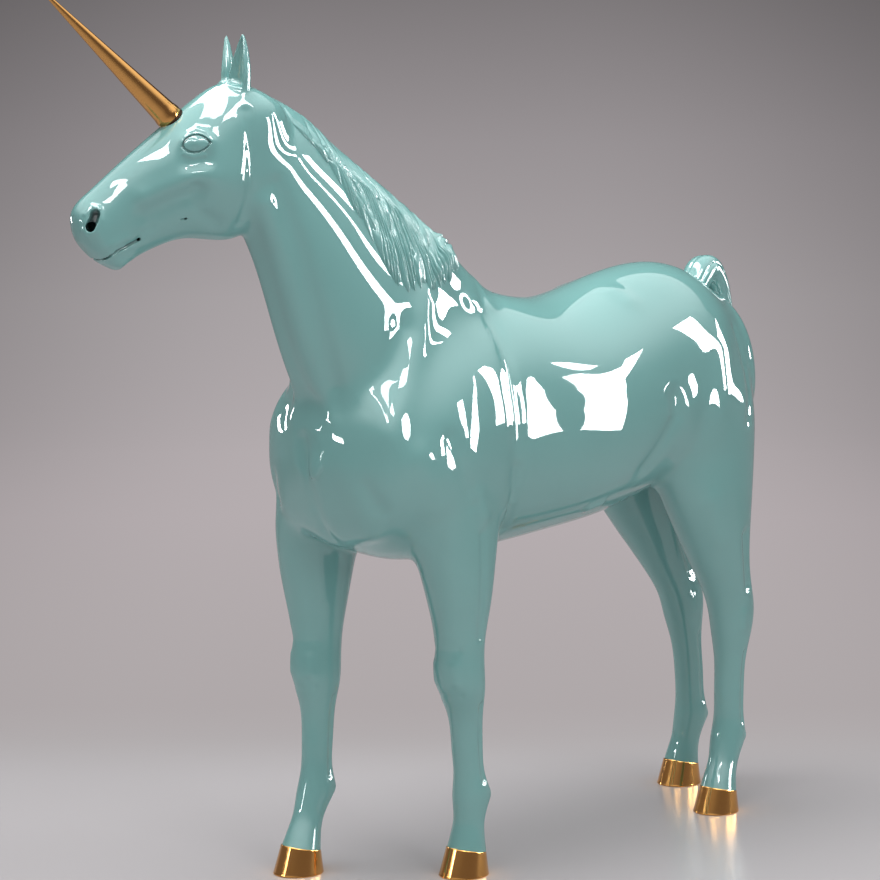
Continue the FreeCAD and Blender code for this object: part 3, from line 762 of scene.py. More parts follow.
@dataclass(frozen=True)
class Mark:
    """A stroke that is placed by where it shows in the picture.

    Attributes:
        line: places across and down the picture.
        radius: how wide it is, in metres.
        height: how far it lifts the skin, in metres.
        twin: the plane that it is mirrored in.
        bore: whether it is a hole, as deep as its height.
    """

    line: tuple[tuple[float, float], ...]
    radius: float
    height: float
    twin: Twin = Twin.BODY
    bore: bool = False


# Muscles and folds of trunk, neck and haunch.
BODY_MARKS = (
    Mark(((430, 304), (416, 345), (401, 392), (388, 432)), 0.046, 0.008),
    Mark(((404, 330), (384, 376), (362, 404), (342, 414)), 0.042, -0.010),
    Mark(((262, 205), (279, 262), (298, 330), (316, 382), (331, 420)), 0.026, 0.012),
    Mark(((277, 185), (300, 250), (320, 330), (336, 385)), 0.024, -0.008),
    Mark(((484, 300), (501, 340), (512, 392), (517, 440), (515, 478)), 0.028, -0.006),
    Mark(((484, 380), (492, 420)), 0.090, 0.004),
    Mark(((452, 440), (458, 460), (466, 482), (474, 502)), 0.026, -0.006),
    Mark(((420, 460), (430, 482), (432, 505)), 0.044, 0.009),
    Mark(((478, 498), (484, 515)), 0.026, 0.008),
    Mark(((366, 488), (380, 510)), 0.024, -0.010),
    Mark(((345, 470), (356, 510), (372, 535)), 0.040, 0.010),
    Mark(((316, 470), (330, 515)), 0.040, 0.010, Twin.NONE),
    Mark(((302, 440), (312, 490), (332, 540)), 0.020, -0.009, Twin.NONE),
    Mark(((518, 470), (512, 505), (502, 530)), 0.018, -0.008),
    Mark(((676, 398), (677, 416), (665, 440), (645, 468)), 0.028, -0.010),
    Mark(((692, 410), (688, 435), (676, 460)), 0.044, 0.006),
    Mark(((617, 292), (628, 300)), 0.034, 0.006),
    Mark(((735, 330), (746, 372), (748, 420)), 0.020, -0.004),
    Mark(((725, 350), (722, 400), (712, 440)), 0.050, 0.006),
    Mark(((588, 508), (600, 503)), 0.014, 0.010, Twin.NONE),
    Mark(((470, 300), (488, 305)), 0.030, 0.005))
# The head's features.
HEAD_MARKS = (
    Mark(((186, 142), (196, 140), (207, 142)), 0.022, 0.007, Twin.HEAD),
    Mark(((190, 163), (204, 161)), 0.022, -0.006, Twin.HEAD),
    Mark(((182, 141), (188, 133), (196, 129), (206, 132), (213, 141)), 0.0060, 0.0030, Twin.HEAD),
    Mark(((184, 154), (194, 157), (205, 155)), 0.0050, 0.0020, Twin.HEAD),
    Mark(((182.5, 146.5), (183.5, 142.5), (186, 138.7), (189.5, 136), (193.5, 134.6), (198, 134.4),
          (202.5, 135.6), (206.5, 138.3), (210.5, 142.5)), 0.0030, -0.003, Twin.HEAD, True),
    Mark(((182.5, 146.5), (185, 149.4), (189, 151.4), (194, 152.2), (199, 151.7), (204, 149.6),
          (208, 146.4), (210.5, 142.5)), 0.0024, -0.002, Twin.HEAD, True),
    Mark(((196, 143),), 0.014, 0.004, Twin.HEAD),
    Mark(((208, 176), (188, 180), (168, 188), (146, 198)), 0.026, 0.007, Twin.HEAD),
    Mark(((198, 193), (184, 197), (166, 206), (146, 216)), 0.026, -0.010, Twin.HEAD),
    Mark(((196, 188), (192, 199), (200, 213), (216, 223)), 0.020, -0.007, Twin.HEAD),
    Mark(((230, 184),), 0.060, 0.010, Twin.HEAD),
    Mark(((181.5, 220), (186, 219)), 0.0030, -0.016, Twin.HEAD, True),
    Mark(((95, 214), (93.5, 220), (90, 227)), 0.0120, -0.034, Twin.HEAD, True),
    Mark(((99, 210), (101, 220), (96, 231), (88, 236), (83, 231)), 0.0070, 0.0040, Twin.HEAD),
    Mark(((98, 208), (91, 206), (85, 214)), 0.0060, 0.0030, Twin.HEAD),
    Mark(((91, 258), (101, 260), (112, 255), (125, 247), (139, 239)), 0.0030, -0.012, Twin.HEAD, True),
    Mark(((116, 252), (127, 246), (139, 239.5)), 0.0042, -0.014, Twin.HEAD, True),
    Mark(((128, 246), (139, 239)), 0.0060, -0.0050, Twin.HEAD),
    Mark(((98, 250), (112, 245), (126, 238)), 0.0120, 0.0025, Twin.HEAD),
    Mark(((104, 269), (116, 265), (132, 257)), 0.0140, 0.0040, Twin.HEAD),
    Mark(((144, 233), (152, 228)), 0.0150, -0.0040, Twin.HEAD),
    Mark(((246, 112), (251, 150), (249, 190), (240, 222)), 0.016, -0.004, Twin.HEAD))


@dataclass(frozen=True)
class LimbMark:
    """A stroke that both legs of a pair have.

    Attributes:
        line: height, then place ahead and to the outside as shares of the ring's half sizes.
        radius: how wide it is, in metres.
        height: how far it lifts the skin, in metres.
        both: whether the leg's inner side has it too.
    """

    line: tuple[Point, ...]
    radius: float
    height: float
    both: bool = False


# Tendons, joints and edges of muscle.
FORE_STROKES = (
    LimbMark(((0.62, 0.60, 0.62), (0.52, 0.70, 0.50), (0.43, 0.80, 0.30)), 0.020, 0.006),
    LimbMark(((0.60, -0.10, 0.95), (0.50, -0.10, 0.95), (0.42, -0.15, 0.95)), 0.013, -0.005),
    LimbMark(((0.58, 0.55, -0.75), (0.48, 0.45, -0.80)), 0.018, 0.005),
    LimbMark(((0.372, 0.75, 0.55), (0.345, 0.75, 0.55)), 0.013, 0.0050, True),
    LimbMark(((0.400, 0.60, 0.60), (0.400, 0.80, 0.00), (0.400, 0.60, -0.60)), 0.012, -0.0040),
    LimbMark(((0.322, 0.60, 0.60), (0.322, 0.80, 0.00), (0.322, 0.60, -0.60)), 0.012, -0.0030),
    LimbMark(((0.375, -0.95, 0.15), (0.355, -0.92, 0.15)), 0.014, 0.0080),
    LimbMark(((0.300, -0.30, 0.95), (0.230, -0.30, 0.95), (0.165, -0.30, 0.95)), 0.008, -0.0055, True),
    LimbMark(((0.140, -0.75, 0.60),), 0.015, 0.0025, True),
    LimbMark(((0.108, -0.85, 0.00),), 0.012, -0.0020))
HIND_STROKES = (
    LimbMark(((0.600, 0.45, 0.80), (0.530, 0.45, 0.80)), 0.034, 0.007),
    LimbMark(((0.530, -0.42, 0.92), (0.475, -0.45, 0.92), (0.430, -0.40, 0.92)), 0.018, -0.012, True),
    LimbMark(((0.410, -0.90, 0.00), (0.392, -0.92, 0.00)), 0.018, 0.0080),
    LimbMark(((0.375, 0.10, 0.95), (0.350, 0.15, 0.95)), 0.016, 0.0050),
    LimbMark(((0.375, 0.10, -0.95), (0.350, 0.15, -0.95)), 0.016, 0.0055),
    LimbMark(((0.300, -0.30, 0.95), (0.230, -0.30, 0.95), (0.165, -0.30, 0.95)), 0.008, -0.0055, True),
    LimbMark(((0.136, -0.75, 0.55),), 0.014, 0.0045, True),
    LimbMark(((0.106, -0.85, 0.00),), 0.010, -0.0040))


def traced(marks: Sequence[Mark], body: Anatomy, studio: Studio) -> list[Stroke]:
    """Strokes on the skin where marks show in the picture.

    Args:
        marks: strokes in the picture.
        body: the skin that they lie on.
        studio: the camera.

    Returns:
        The strokes in the row frame.
    """
    spots = body.seen(studio.eye, studio.ways([spot for mark in marks for spot in mark.line]))
    strokes, used = [], 0
    for mark in marks:
        run = spots[used: used + len(mark.line)]
        used += len(mark.line)
        if mark.bore:
            run = np.concatenate([run, (run + mark.height * unit(gradient(body, run, SLOPE_STEP)))[::-1]])
        line = tuple(tuple(spot) for spot in run.tolist())
        strokes.append(Stroke(line, mark.radius, mark.height, mark.twin, mark.bore))
    return strokes


def limb_strokes(body: Anatomy) -> list[Stroke]:
    """The strokes of all four legs.

    Args:
        body: the skin, for the legs' lines.

    Returns:
        The strokes in the row frame.
    """
    strokes = []
    for leg in Leg:
        outer = 1 if leg.value.endswith("left") else -1
        for mark in (FORE_STROKES if leg.is_fore else HIND_STROKES):
            rows = body.legs[leg](np.array([spot[0] * WITHERS for spot in mark.line])).tolist()
            for way in ((outer, -outer) if mark.both else (outer,)):
                places = tuple(
                    (row[0] + ahead * row[2], row[1] + way * aside * row[3], rise * WITHERS)
                    for row, (rise, ahead, aside) in zip(rows, mark.line))
                strokes.append(Stroke(places, mark.radius, mark.height, Twin.NONE))
    return strokes


@dataclass(frozen=True)
class Mane:
    """Hair that falls from the crest on the left side, as relief in the lacquer."""

    across: int = 620
    down: int = 150

    # Lock lengths: place along the body, length in metres.
    LENGTHS = ((0.690, 0.05), (0.728, 0.14), (0.770, 0.23), (0.800, 0.29), (0.841, 0.34), (0.876, 0.37),
               (0.902, 0.37), (0.930, 0.33), (0.955, 0.25), (0.984, 0.16), (1.014, 0.09), (1.045, 0.03))
    LEAN = 0.16
    CREST_DEPTH = 0.09
    # How many locks, strands and hairs stand side by side, and how far each lifts over the bare sheet.
    LOCKS, STRANDS, HAIRS = 13, 50, 120
    LOCK_LIFT, STRAND_LIFT, HAIR_LIFT, SHEET_LIFT = 0.0085, 0.0070, 0.0022, 0.0030
    # Where the search for the crest starts, and how far the searches reach upwards and aside.
    CREST_FROM, CREST_SEARCH, SIDE_SEARCH = 0.9, (0.3, 1.4), (0.0, 0.30)
    # How far the ends and the rim sink into the skin.
    END_SINK, RIM_SINK = 0.0015, 0.002

    def build(self, body: Anatomy, material: bpy.types.Material) -> bpy.types.Object:
        """Comb the strands over the neck.

        Args:
            body: the skin that the mane lies on.
            material: its finish.

        Returns:
            The mane.
        """
        across, down = ((self.across, self.down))
        lengths = Spline([row[0] for row in self.LENGTHS], [[row[1]] for row in self.LENGTHS])
        start, end = self.LENGTHS[0][0], self.LENGTHS[-1][0]
        s, t = (grid.ravel() for grid in np.meshgrid(
            np.linspace(0, 1, across), np.linspace(-0.10, 1, down), indexing="ij"))
        share = start + s * (end - start)
        x = share * BODY_LENGTH + body.shift[0]
        length = lengths(share)[:, 0]
        ell = t * length
        x = x - self.LEAN * np.clip(ell, 0, None) * (0.4 + 0.6 * s)
        bare = Anatomy(body.shift, body.strokes)
        column = np.column_stack([x, np.full(len(x), body.shift[1]), np.zeros(len(x))])
        upward = np.tile([0.0, 0, 1.0], (len(x), 1))
        crest = self.ray(bare, column + [0, 0, self.CREST_FROM], upward, *self.CREST_SEARCH)[:, 2]
        turn = np.clip(ell / self.CREST_DEPTH, -0.5, math.pi / 2)
        sink = np.clip(ell - self.CREST_DEPTH * math.pi / 2, 0, None)
        origin = np.column_stack([x, column[:, 1], crest - self.CREST_DEPTH - sink])
        way = np.column_stack([np.zeros(len(x)), np.sin(turn), np.cos(turn)])
        skin = self.ray(bare, origin, way, *self.SIDE_SEARCH)
        vertices = skin + unit(gradient(bare, skin)) * self.relief(s, t, length)[:, None]
        mane = mesh_object("mane_hair", vertices, strips(across, down, closed=False)[:, ::-1].tolist())
        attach(mane, "figure")
        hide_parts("mane")
        paint(mane, material)
        return mane

    @staticmethod
    def ray(field: Field, origin: Array, way: Array, low: float, high: float) -> Array:
        """Where rays leave the skin, by halving.

        Args:
            field: signed distance.
            origin: start of each ray, inside the skin.
            way: unit direction of each ray.
            low: nearest reach.
            high: farthest reach.

        Returns:
            One place for each ray.
        """
        inner, outer = np.full(len(origin), low), np.full(len(origin), high)
        for _ in range(HALVINGS):
            middle = (inner + outer) / 2
            within = field(origin + way * middle[:, None]) < 0
            inner, outer = np.where(within, middle, inner), np.where(within, outer, middle)
        return origin + way * ((inner + outer) / 2)[:, None]

    def relief(self, s: Array, t: Array, length: Array) -> Array:
        """Height of the hair over the skin, with locks, strands and ragged ends.

        Args:
            s: place along the crest, 0 at the withers.
            t: place down the lock, 1 at its longest end.
            length: the lock's length in metres.

        Returns:
            One height for each place.
        """
        wave = 0.010 * np.sin(5.0 * t + 9 * s) + 0.005 * np.sin(11 * t + 31 * s)
        lock = (s + wave) * self.LOCKS + 0.5 * np.sin(23 * s)
        strand = (s + 1.4 * wave) * self.STRANDS + 0.9 * np.sin(47 * s + 2 * t) + 0.4 * np.sin(7 * t)
        hair = (s + 1.2 * wave) * self.HAIRS + 1.5 * np.sin(83 * s + 3 * t)
        number = np.floor(lock)
        crown = np.abs(np.sin(math.pi * lock)) ** 0.7
        ridge = np.abs(np.sin(math.pi * strand)) ** 0.7
        fine = np.abs(np.sin(math.pi * hair))
        uneven = 0.5 + 0.5 * np.sin(number * 12.9898)
        tip = 1.0 - 0.16 * uneven - 0.12 * (1 - crown) - 0.07 * (1 - ridge)
        fade = np.clip((tip - t) / 0.20, -0.4, 1)
        fade = np.where(fade > 0, np.sqrt(np.clip(fade, 0, 1)), fade)
        root = np.clip((t + 0.02) / 0.35, 0, 1)
        combed = np.clip((0.92 - s) / 0.35, 0.10, 1)
        rim = np.clip(s / 0.16, 0, 1) ** 2 * np.clip((1 - s) / 0.03, 0, 1)
        height = self.SHEET_LIFT + self.LOCK_LIFT * crown * (0.5 + 0.5 * combed)
        height += combed * (self.STRAND_LIFT * ridge + self.HAIR_LIFT * fine) * root
        short = np.clip(length / 0.12, 0.3, 1)
        sunk = self.END_SINK * (1 - np.clip(fade, 0, 1)) + self.RIM_SINK * (1 - rim)
        return height * fade * rim * short * (0.30 + 0.70 * root) - sunk


@dataclass(frozen=True)
class Tail:
    """The tail, lifted at the dock and hanging behind the thighs."""

    # Rings: along, height, half thickness, half width in metres.
    RINGS = ((0.118, 0.955, 0.028, 0.036), (0.074, 1.000, 0.041, 0.046), (0.050, 1.022, 0.044, 0.050),
             (0.026, 1.002, 0.040, 0.044), (0.004, 0.945, 0.034, 0.036), (-0.018, 0.860, 0.030, 0.034),
             (-0.025, 0.740, 0.031, 0.036), (-0.021, 0.620, 0.028, 0.032), (-0.014, 0.500, 0.018, 0.021),
             (-0.009, 0.428, 0.004, 0.004))
    along: int = 420
    around: int = 150

    def build(self, body: Anatomy, material: bpy.types.Material) -> bpy.types.Object:
        """Sweep the strands down the tail.

        Args:
            body: the skin, for its zero point.
            material: the finish.

        Returns:
            The tail.
        """
        rings = np.array(self.RINGS)
        spots = np.column_stack([rings[:, 0] * BODY_LENGTH, rings[:, 1] * WITHERS])
        run = np.concatenate([[0], np.cumsum(np.linalg.norm(np.diff(spots, axis=0), axis=1))])
        curve = Spline(run, np.column_stack([spots, rings[:, 2:]]))
        v, angle = (g.ravel() for g in np.meshgrid(
            np.linspace(0, 1, self.along), np.arange(self.around) / self.around * 2 * math.pi, indexing="ij"))
        row = curve(v * run[-1])
        ahead = unit(curve(v * run[-1] + 1e-3)[:, :2] - curve(v * run[-1] - 1e-3)[:, :2])
        twist = angle + 0.5 * np.sin(3.0 * v) + 0.10 * np.sin(17 * v + 3 * angle)
        lock = np.abs(np.sin(2.5 * twist + 0.6)) ** 0.6
        strand = np.abs(np.sin(8.5 * twist + 2.2 * np.sin(2 * twist) + 1.5 * v)) ** 0.8
        fine = np.abs(np.sin(21 * twist + 3 * np.sin(3 * twist + 5 * v)))
        loose = np.clip(v * 3 - 0.5, 0.0, 1)
        swell = 0.86 + (0.10 + 0.08 * loose) * lock + 0.04 * (1 - loose)
        swell += loose * (0.12 * strand + 0.05 * fine)
        up, side = np.sin(angle) * row[:, 2] * swell, np.cos(angle) * row[:, 3] * swell
        place = np.column_stack([row[:, 0] - ahead[:, 1] * up, side, row[:, 1] + ahead[:, 0] * up])
        tail = mesh_object("tail_hair", place + body.shift, strips(self.along, self.around).tolist())
        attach(tail, "figure")
        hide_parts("tail")
        paint(tail, material)
        return tail


def spun_piece(
        name: str, profile: Sequence[tuple[float, float]], axis: Vector, root: Vector) -> bpy.types.Object:
    """A piece of revolution, spun from its profile.

    Args:
        name: name of the piece.
        profile: radius and place along the axis, from one end to the other.
        axis: unit direction of the axis.
        root: where the axis starts.

    Returns:
        The piece.
    """
    side = axis.to_track_quat("Z", "X") @ Vector((1, 0, 0))
    mesh = bpy.data.meshes.new(name)
    places = [(root + side * radius + axis * along)[:] for radius, along in profile]
    mesh.from_pydata(places, [(i, i + 1) for i in range(len(places) - 1)], [])
    piece = bpy.data.objects.new(name, mesh)
    bpy.context.scene.collection.objects.link(piece)
    bpy.ops.object.select_all(action="DESELECT")
    bpy.context.view_layer.objects.active = piece
    piece.select_set(True)
    bpy.ops.object.mode_set(mode="EDIT")
    bpy.ops.mesh.select_all(action="SELECT")
    bpy.ops.mesh.spin(steps=96, angle=2 * math.pi, center=root, axis=axis)
    bpy.ops.mesh.select_all(action="SELECT")
    bpy.ops.mesh.remove_doubles(threshold=0.00001)
    bpy.ops.mesh.normals_make_consistent(inside=False)
    bpy.ops.object.mode_set(mode="OBJECT")
    piece.select_set(False)
    mesh.shade_smooth()
    return piece


@dataclass(frozen=True)
class Horn:
    """The plain gold horn, which stands on the brow and lifts off."""

    length: float = 0.430
    base: float = 0.032
    tip: float = 0.003
    # How far its foot sinks into the brow.
    sink: float = 0.012

    def profile(self) -> list[tuple[float, float]]:
        """Radius and place along the axis, from its foot to its tip."""
        slope, end = (self.base - self.tip) / self.length, self.length
        foot = [(self.base - 0.003, -self.sink), (self.base + 0.0004, 0.002),
                (self.base + 0.0014, 0.009), (self.base + 0.0008, 0.016)]
        cone = [(self.base + 0.0006 - slope * along, along) for along in np.linspace(0.024, end - 0.003, 40)]
        point = [(self.tip * 0.85, end - 0.0004), (self.tip * 0.35, end + 0.0010), (0.0, end + 0.0018)]
        return foot + cone + point

    def build(self, body: Anatomy, gold: bpy.types.Material, seam: bpy.types.Material) -> None:
        """Turn the horn and the dark seam at its root.

        Args:
            body: the head, for the horn's place.
            gold: the horn's finish.
            seam: the dark line's finish.
        """
        axis = Vector(body.brow * math.cos(HORN_LEAN) + body.face * math.sin(HORN_LEAN))
        root = Vector(body.head_place(HORN_ROOT_SHARE * HEAD_LENGTH, 0.0))
        horn = spun_piece("horn_gold", self.profile(), axis, root)
        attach(horn, "horn")
        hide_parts("horn")
        paint(horn, gold)
        line = [(self.base + 0.001, -self.sink), (self.base + 0.0018, -0.003), (self.base + 0.001, 0.001)]
        ring = spun_piece("horn_seam", line, axis, root)
        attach(ring, "horn")
        paint(ring, seam)


@dataclass(frozen=True)
class Hoof:
    """A mirror-bright gold hoof with a crisp coronet."""

    leg: Leg
    length: float = 0.138
    width: float = 0.124
    toe_reach: float = 0.009
    # How far the coronet stands out from the leg.
    lip: float = 0.0012
    steps: int = 128

    # Rings of the wall, as shares of its height, and how far a rounded edge draws in.
    RISES = (1.0, 0.985, 0.96, 0.90, 0.80, 0.65, 0.50, 0.35, 0.20, 0.10, 0.05)
    DRAWN_IN = 0.985

    def build(self, body: Anatomy, gold: bpy.types.Material) -> None:
        """Shape the wall from the coronet down to the sole.

        Args:
            body: the leg, for the coronet's place.
            gold: the finish.
        """
        name = "hoof_" + self.leg.place
        row = body.legs[self.leg](np.array([HOOF_HEIGHT]))[0]
        centre = np.array([row[0], row[1], 0.0])
        top_centre = centre + [0, 0, HOOF_HEIGHT]
        angles = np.arange(self.steps) / self.steps * 2 * math.pi
        ahead, aside = np.cos(angles), np.sin(angles)
        circle = np.column_stack([ahead, aside, np.zeros(self.steps)])
        tilt = np.array([math.cos(CORONET_TILT), 0, math.sin(CORONET_TILT)])
        top = top_centre + np.outer(ahead * (row[2] + self.lip), tilt)
        top = top + np.outer(aside * (row[3] + self.lip), [0, 1, 0])
        low = centre + [self.toe_reach, 0, 0] + circle * [self.length / 2, self.width / 2, 0]
        rings = [low + (top - low) * rise for rise in self.RISES]
        rings[0] = self.drawn_in(rings[0], centre) + [0, 0, 0.001]
        inside = (top_centre - [0, 0, 0.004]) * 0.1 + top * 0.9
        rings = [inside] + rings + [low + [0, 0, 0.0016], self.drawn_in(low, centre)]
        hoof = mesh_object(name + "_gold", np.concatenate(rings), strips(len(rings), self.steps).tolist())
        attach(hoof, "figure")
        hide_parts(name)
        paint(hoof, gold)

    def drawn_in(self, ring: Array, centre: Array) -> Array:
        """A ring drawn in towards the hoof's centre, to round an edge."""
        return ring * self.DRAWN_IN + centre * (1 - self.DRAWN_IN)


@dataclass(frozen=True)
class Cut:
    """A plane that ends a piece of skin.

    Attributes:
        at: a place on the plane.
        away: direction of what is cut off.
    """

    at: Point
    away: Point


@dataclass(frozen=True)
class Patch:
    """One piece of the skin.

    Attributes:
        name: the piece's name.
        low: lowest corner of its room.
        high: highest corner.
        cell: size of its quads.
        cuts: planes where it meets its neighbours.
        nodes: solids that it stands for.
    """

    name: str
    low: Point
    high: Point
    cell: float
    cuts: tuple[Cut, ...]
    nodes: tuple[str, ...]

    def build(self, field: Field) -> bpy.types.Object:
        """Mesh this piece of the skin, cut to its planes and shaded by the field's slope.

        Args:
            field: signed distance from the skin.

        Returns:
            The piece.
        """
        scale = 1.0
        vertices, faces = surface(field, self.low, self.high, self.cell * scale)
        vertices = relaxed(field, settle(field, vertices), faces)
        skin = bmesh.new()
        for vertex in vertices.tolist():
            skin.verts.new(vertex)
        skin.verts.ensure_lookup_table()
        for face in faces.tolist():
            skin.faces.new([skin.verts[i] for i in face])
        for cut in self.cuts:
            away = Vector(cut.away).normalized()
            bmesh.ops.bisect_plane(skin, geom=skin.verts[:] + skin.edges[:] + skin.faces[:], clear_outer=True,
                                   plane_co=Vector(cut.at) + away * SEAM_LAP, plane_no=away)
        skin.verts.index_update()
        vertices = np.array([vertex.co[:] for vertex in skin.verts])
        faces = [[vertex.index for vertex in face.verts] for face in skin.faces]
        skin.free()
        piece = mesh_object(self.name, vertices, faces, unit(gradient(field, vertices)))
        if self.name == "skin_head":
            # Mask for the painted shade that darkens the bored hollows.
            depth = piece.data.attributes.new("painted_hollow_shade_depth", "FLOAT", "POINT")
            depth.data.foreach_set("value", field.hollow(vertices))
        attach(piece, "figure")
        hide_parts(*self.nodes)
        log.info("%s: %d vertices", self.name, len(vertices))
        return piece


def principled(name: str) -> tuple[bpy.types.Material, bpy.types.Node]:
    """A new material and its main shader node."""
    material = bpy.data.materials.new(name)
    material.use_nodes = True
    return material, material.node_tree.nodes["Principled BSDF"]


def feed(tree: bpy.types.NodeTree, node: bpy.types.Node, sockets: dict[str | int, Any]) -> None:
    """Fill a node's inputs.

    Args:
        tree: the tree that holds it.
        node: the node.
        sockets: for each input a plain value, or another node's output to link.
    """
    for name, value in sockets.items():
        if isinstance(value, bpy.types.NodeSocket):
            tree.links.new(value, node.inputs[name])
        else:
            node.inputs[name].default_value = value


def add_node(
        tree: bpy.types.NodeTree, kind: str, sockets: dict[str | int, Any] | None = None,
        **settings: Any) -> bpy.types.Node:
    """Add a node, set it up and fill its inputs.

    Args:
        tree: the tree that it goes into.
        kind: its type.
        sockets: for each input a plain value, or another node's output to link.
        settings: its own properties.

    Returns:
        The node.
    """
    node = tree.nodes.new(kind)
    for name, value in settings.items():
        setattr(node, name, value)
    feed(tree, node, sockets or {})
    return node


def object_noise(tree: bpy.types.NodeTree, scale: float) -> bpy.types.NodeSocket:
    """A slow drift over the piece, from 0 to 1."""
    place = add_node(tree, "ShaderNodeTexCoord")
    noise = add_node(tree, "ShaderNodeTexNoise", {"Vector": place.outputs["Object"], "Scale": scale})
    return noise.outputs["Fac"]


def tone_ramp(
        tree: bpy.types.NodeTree, share: bpy.types.NodeSocket, blend: str,
        tones: Sequence[tuple[float, Point]]) -> bpy.types.NodeSocket:
    """A run of tones.

    Args:
        tree: the tree that it goes into.
        share: place along the run, from 0 to 1.
        blend: how one tone passes into the next.
        tones: each tone's place and colour, in order.

    Returns:
        The colour there.
    """
    ramp = add_node(tree, "ShaderNodeValToRGB", {"Fac": share})
    ramp.color_ramp.interpolation = blend
    stops = ramp.color_ramp.elements
    for stop, (place, tone) in zip((stops[0], stops[1]), (tones[0], tones[-1])):
        stop.position, stop.color = place, tone + (1,)
    for place, tone in tones[1:-1]:
        stops.new(place).color = tone + (1,)
    return ramp.outputs["Color"]


def looked_at(tree: bpy.types.NodeTree) -> bpy.types.NodeSocket:
    """1 where a surface is seen straight or in a reflection, and 0 for light that it sheds."""
    path = add_node(tree, "ShaderNodeLightPath")
    seen = {0: path.outputs["Is Camera Ray"], 1: path.outputs["Is Glossy Ray"]}
    return add_node(tree, "ShaderNodeMath", seen, operation="MAXIMUM").outputs[0]


def paint(thing: bpy.types.Object, material: bpy.types.Material) -> None:
    """Give an object one material and no other."""
    thing.data.materials.clear()
    thing.data.materials.append(material)


@dataclass(frozen=True)
class Lacquer:
    """Glossy teal lacquer, clear over colour."""

    colour: Point = (0.187, 0.400, 0.385)

    def build(self) -> bpy.types.Material:
        """The lacquer's material, whose tone drifts slowly, with painted shade that darkens the bored
        hollows.
        """
        material, shader = principled("lacquer_finish")
        tree = material.node_tree
        ends = {"Factor": object_noise(tree, 3.0), "A": self.shade(0.93), "B": self.shade(1.07)}
        tone = add_node(tree, "ShaderNodeMix", ends, data_type="RGBA")
        # Painted shade: the colour darkens to a tenth of itself deep in the bored hollows of eye, nostril and
        # mouth, where shade falls.
        hollow = add_node(tree, "ShaderNodeAttribute", attribute_name="painted_hollow_shade_depth")
        ends = {"Factor": hollow.outputs["Fac"], "A": tone.outputs["Result"], "B": self.shade(0.10)}
        painted_hollow_shade = add_node(tree, "ShaderNodeMix", ends, data_type="RGBA")
        feed(tree, shader, {
            "Base Color": painted_hollow_shade.outputs["Result"], "Roughness": 0.5, "Specular IOR Level": 0.0,
            "Coat Weight": 1.0, "Coat Roughness": 0.015, "Coat IOR": 1.78})
        return material

    def shade(self, share: float) -> tuple[float, ...]:
        """The colour, lighter or darker by a share."""
        return tuple(share * c for c in self.colour) + (1,)


@dataclass(frozen=True)
class Metal:
    """A polished or brushed metal."""

    name: str
    colour: Point
    roughness: float

    def build(self) -> bpy.types.Material:
        """The metal's material, with polish that drifts over the surface."""
        material, shader = principled(self.name)
        tree = material.node_tree
        spread = add_node(tree, "ShaderNodeMapRange", {
            "Value": object_noise(tree, 6.0), "To Min": self.roughness * 0.8, "To Max": self.roughness * 1.2})
        feed(tree, shader, {
            "Base Color": self.colour + (1,), "Metallic": 1.0, "Roughness": spread.outputs["Result"]})
        return material


@dataclass(frozen=True)
class Reflection:
    """A bright shape in the lacquer.

    Attributes:
        outline: its corners, by place in the picture.
        strength: how bright its panel is.
    """

    outline: tuple[tuple[float, float], ...]
    strength: float


@dataclass(frozen=True)
class TallWindow:
    """An upright bright panel at the studio's side.

    Attributes:
        near: azimuth of one edge, in degrees.
        far: azimuth of the other.
        low: elevation of its foot.
        high: elevation of its top.
    """

    near: float
    far: float
    low: float
    high: float


@dataclass(frozen=True)
class Lamp:
    """A soft lamp that looks at the figure's middle.

    Attributes:
        name: its name.
        place: where it hangs, in metres.
        size: its width, in metres.
        power: its power in watts.
    """

    name: str
    place: Point
    size: float
    power: float


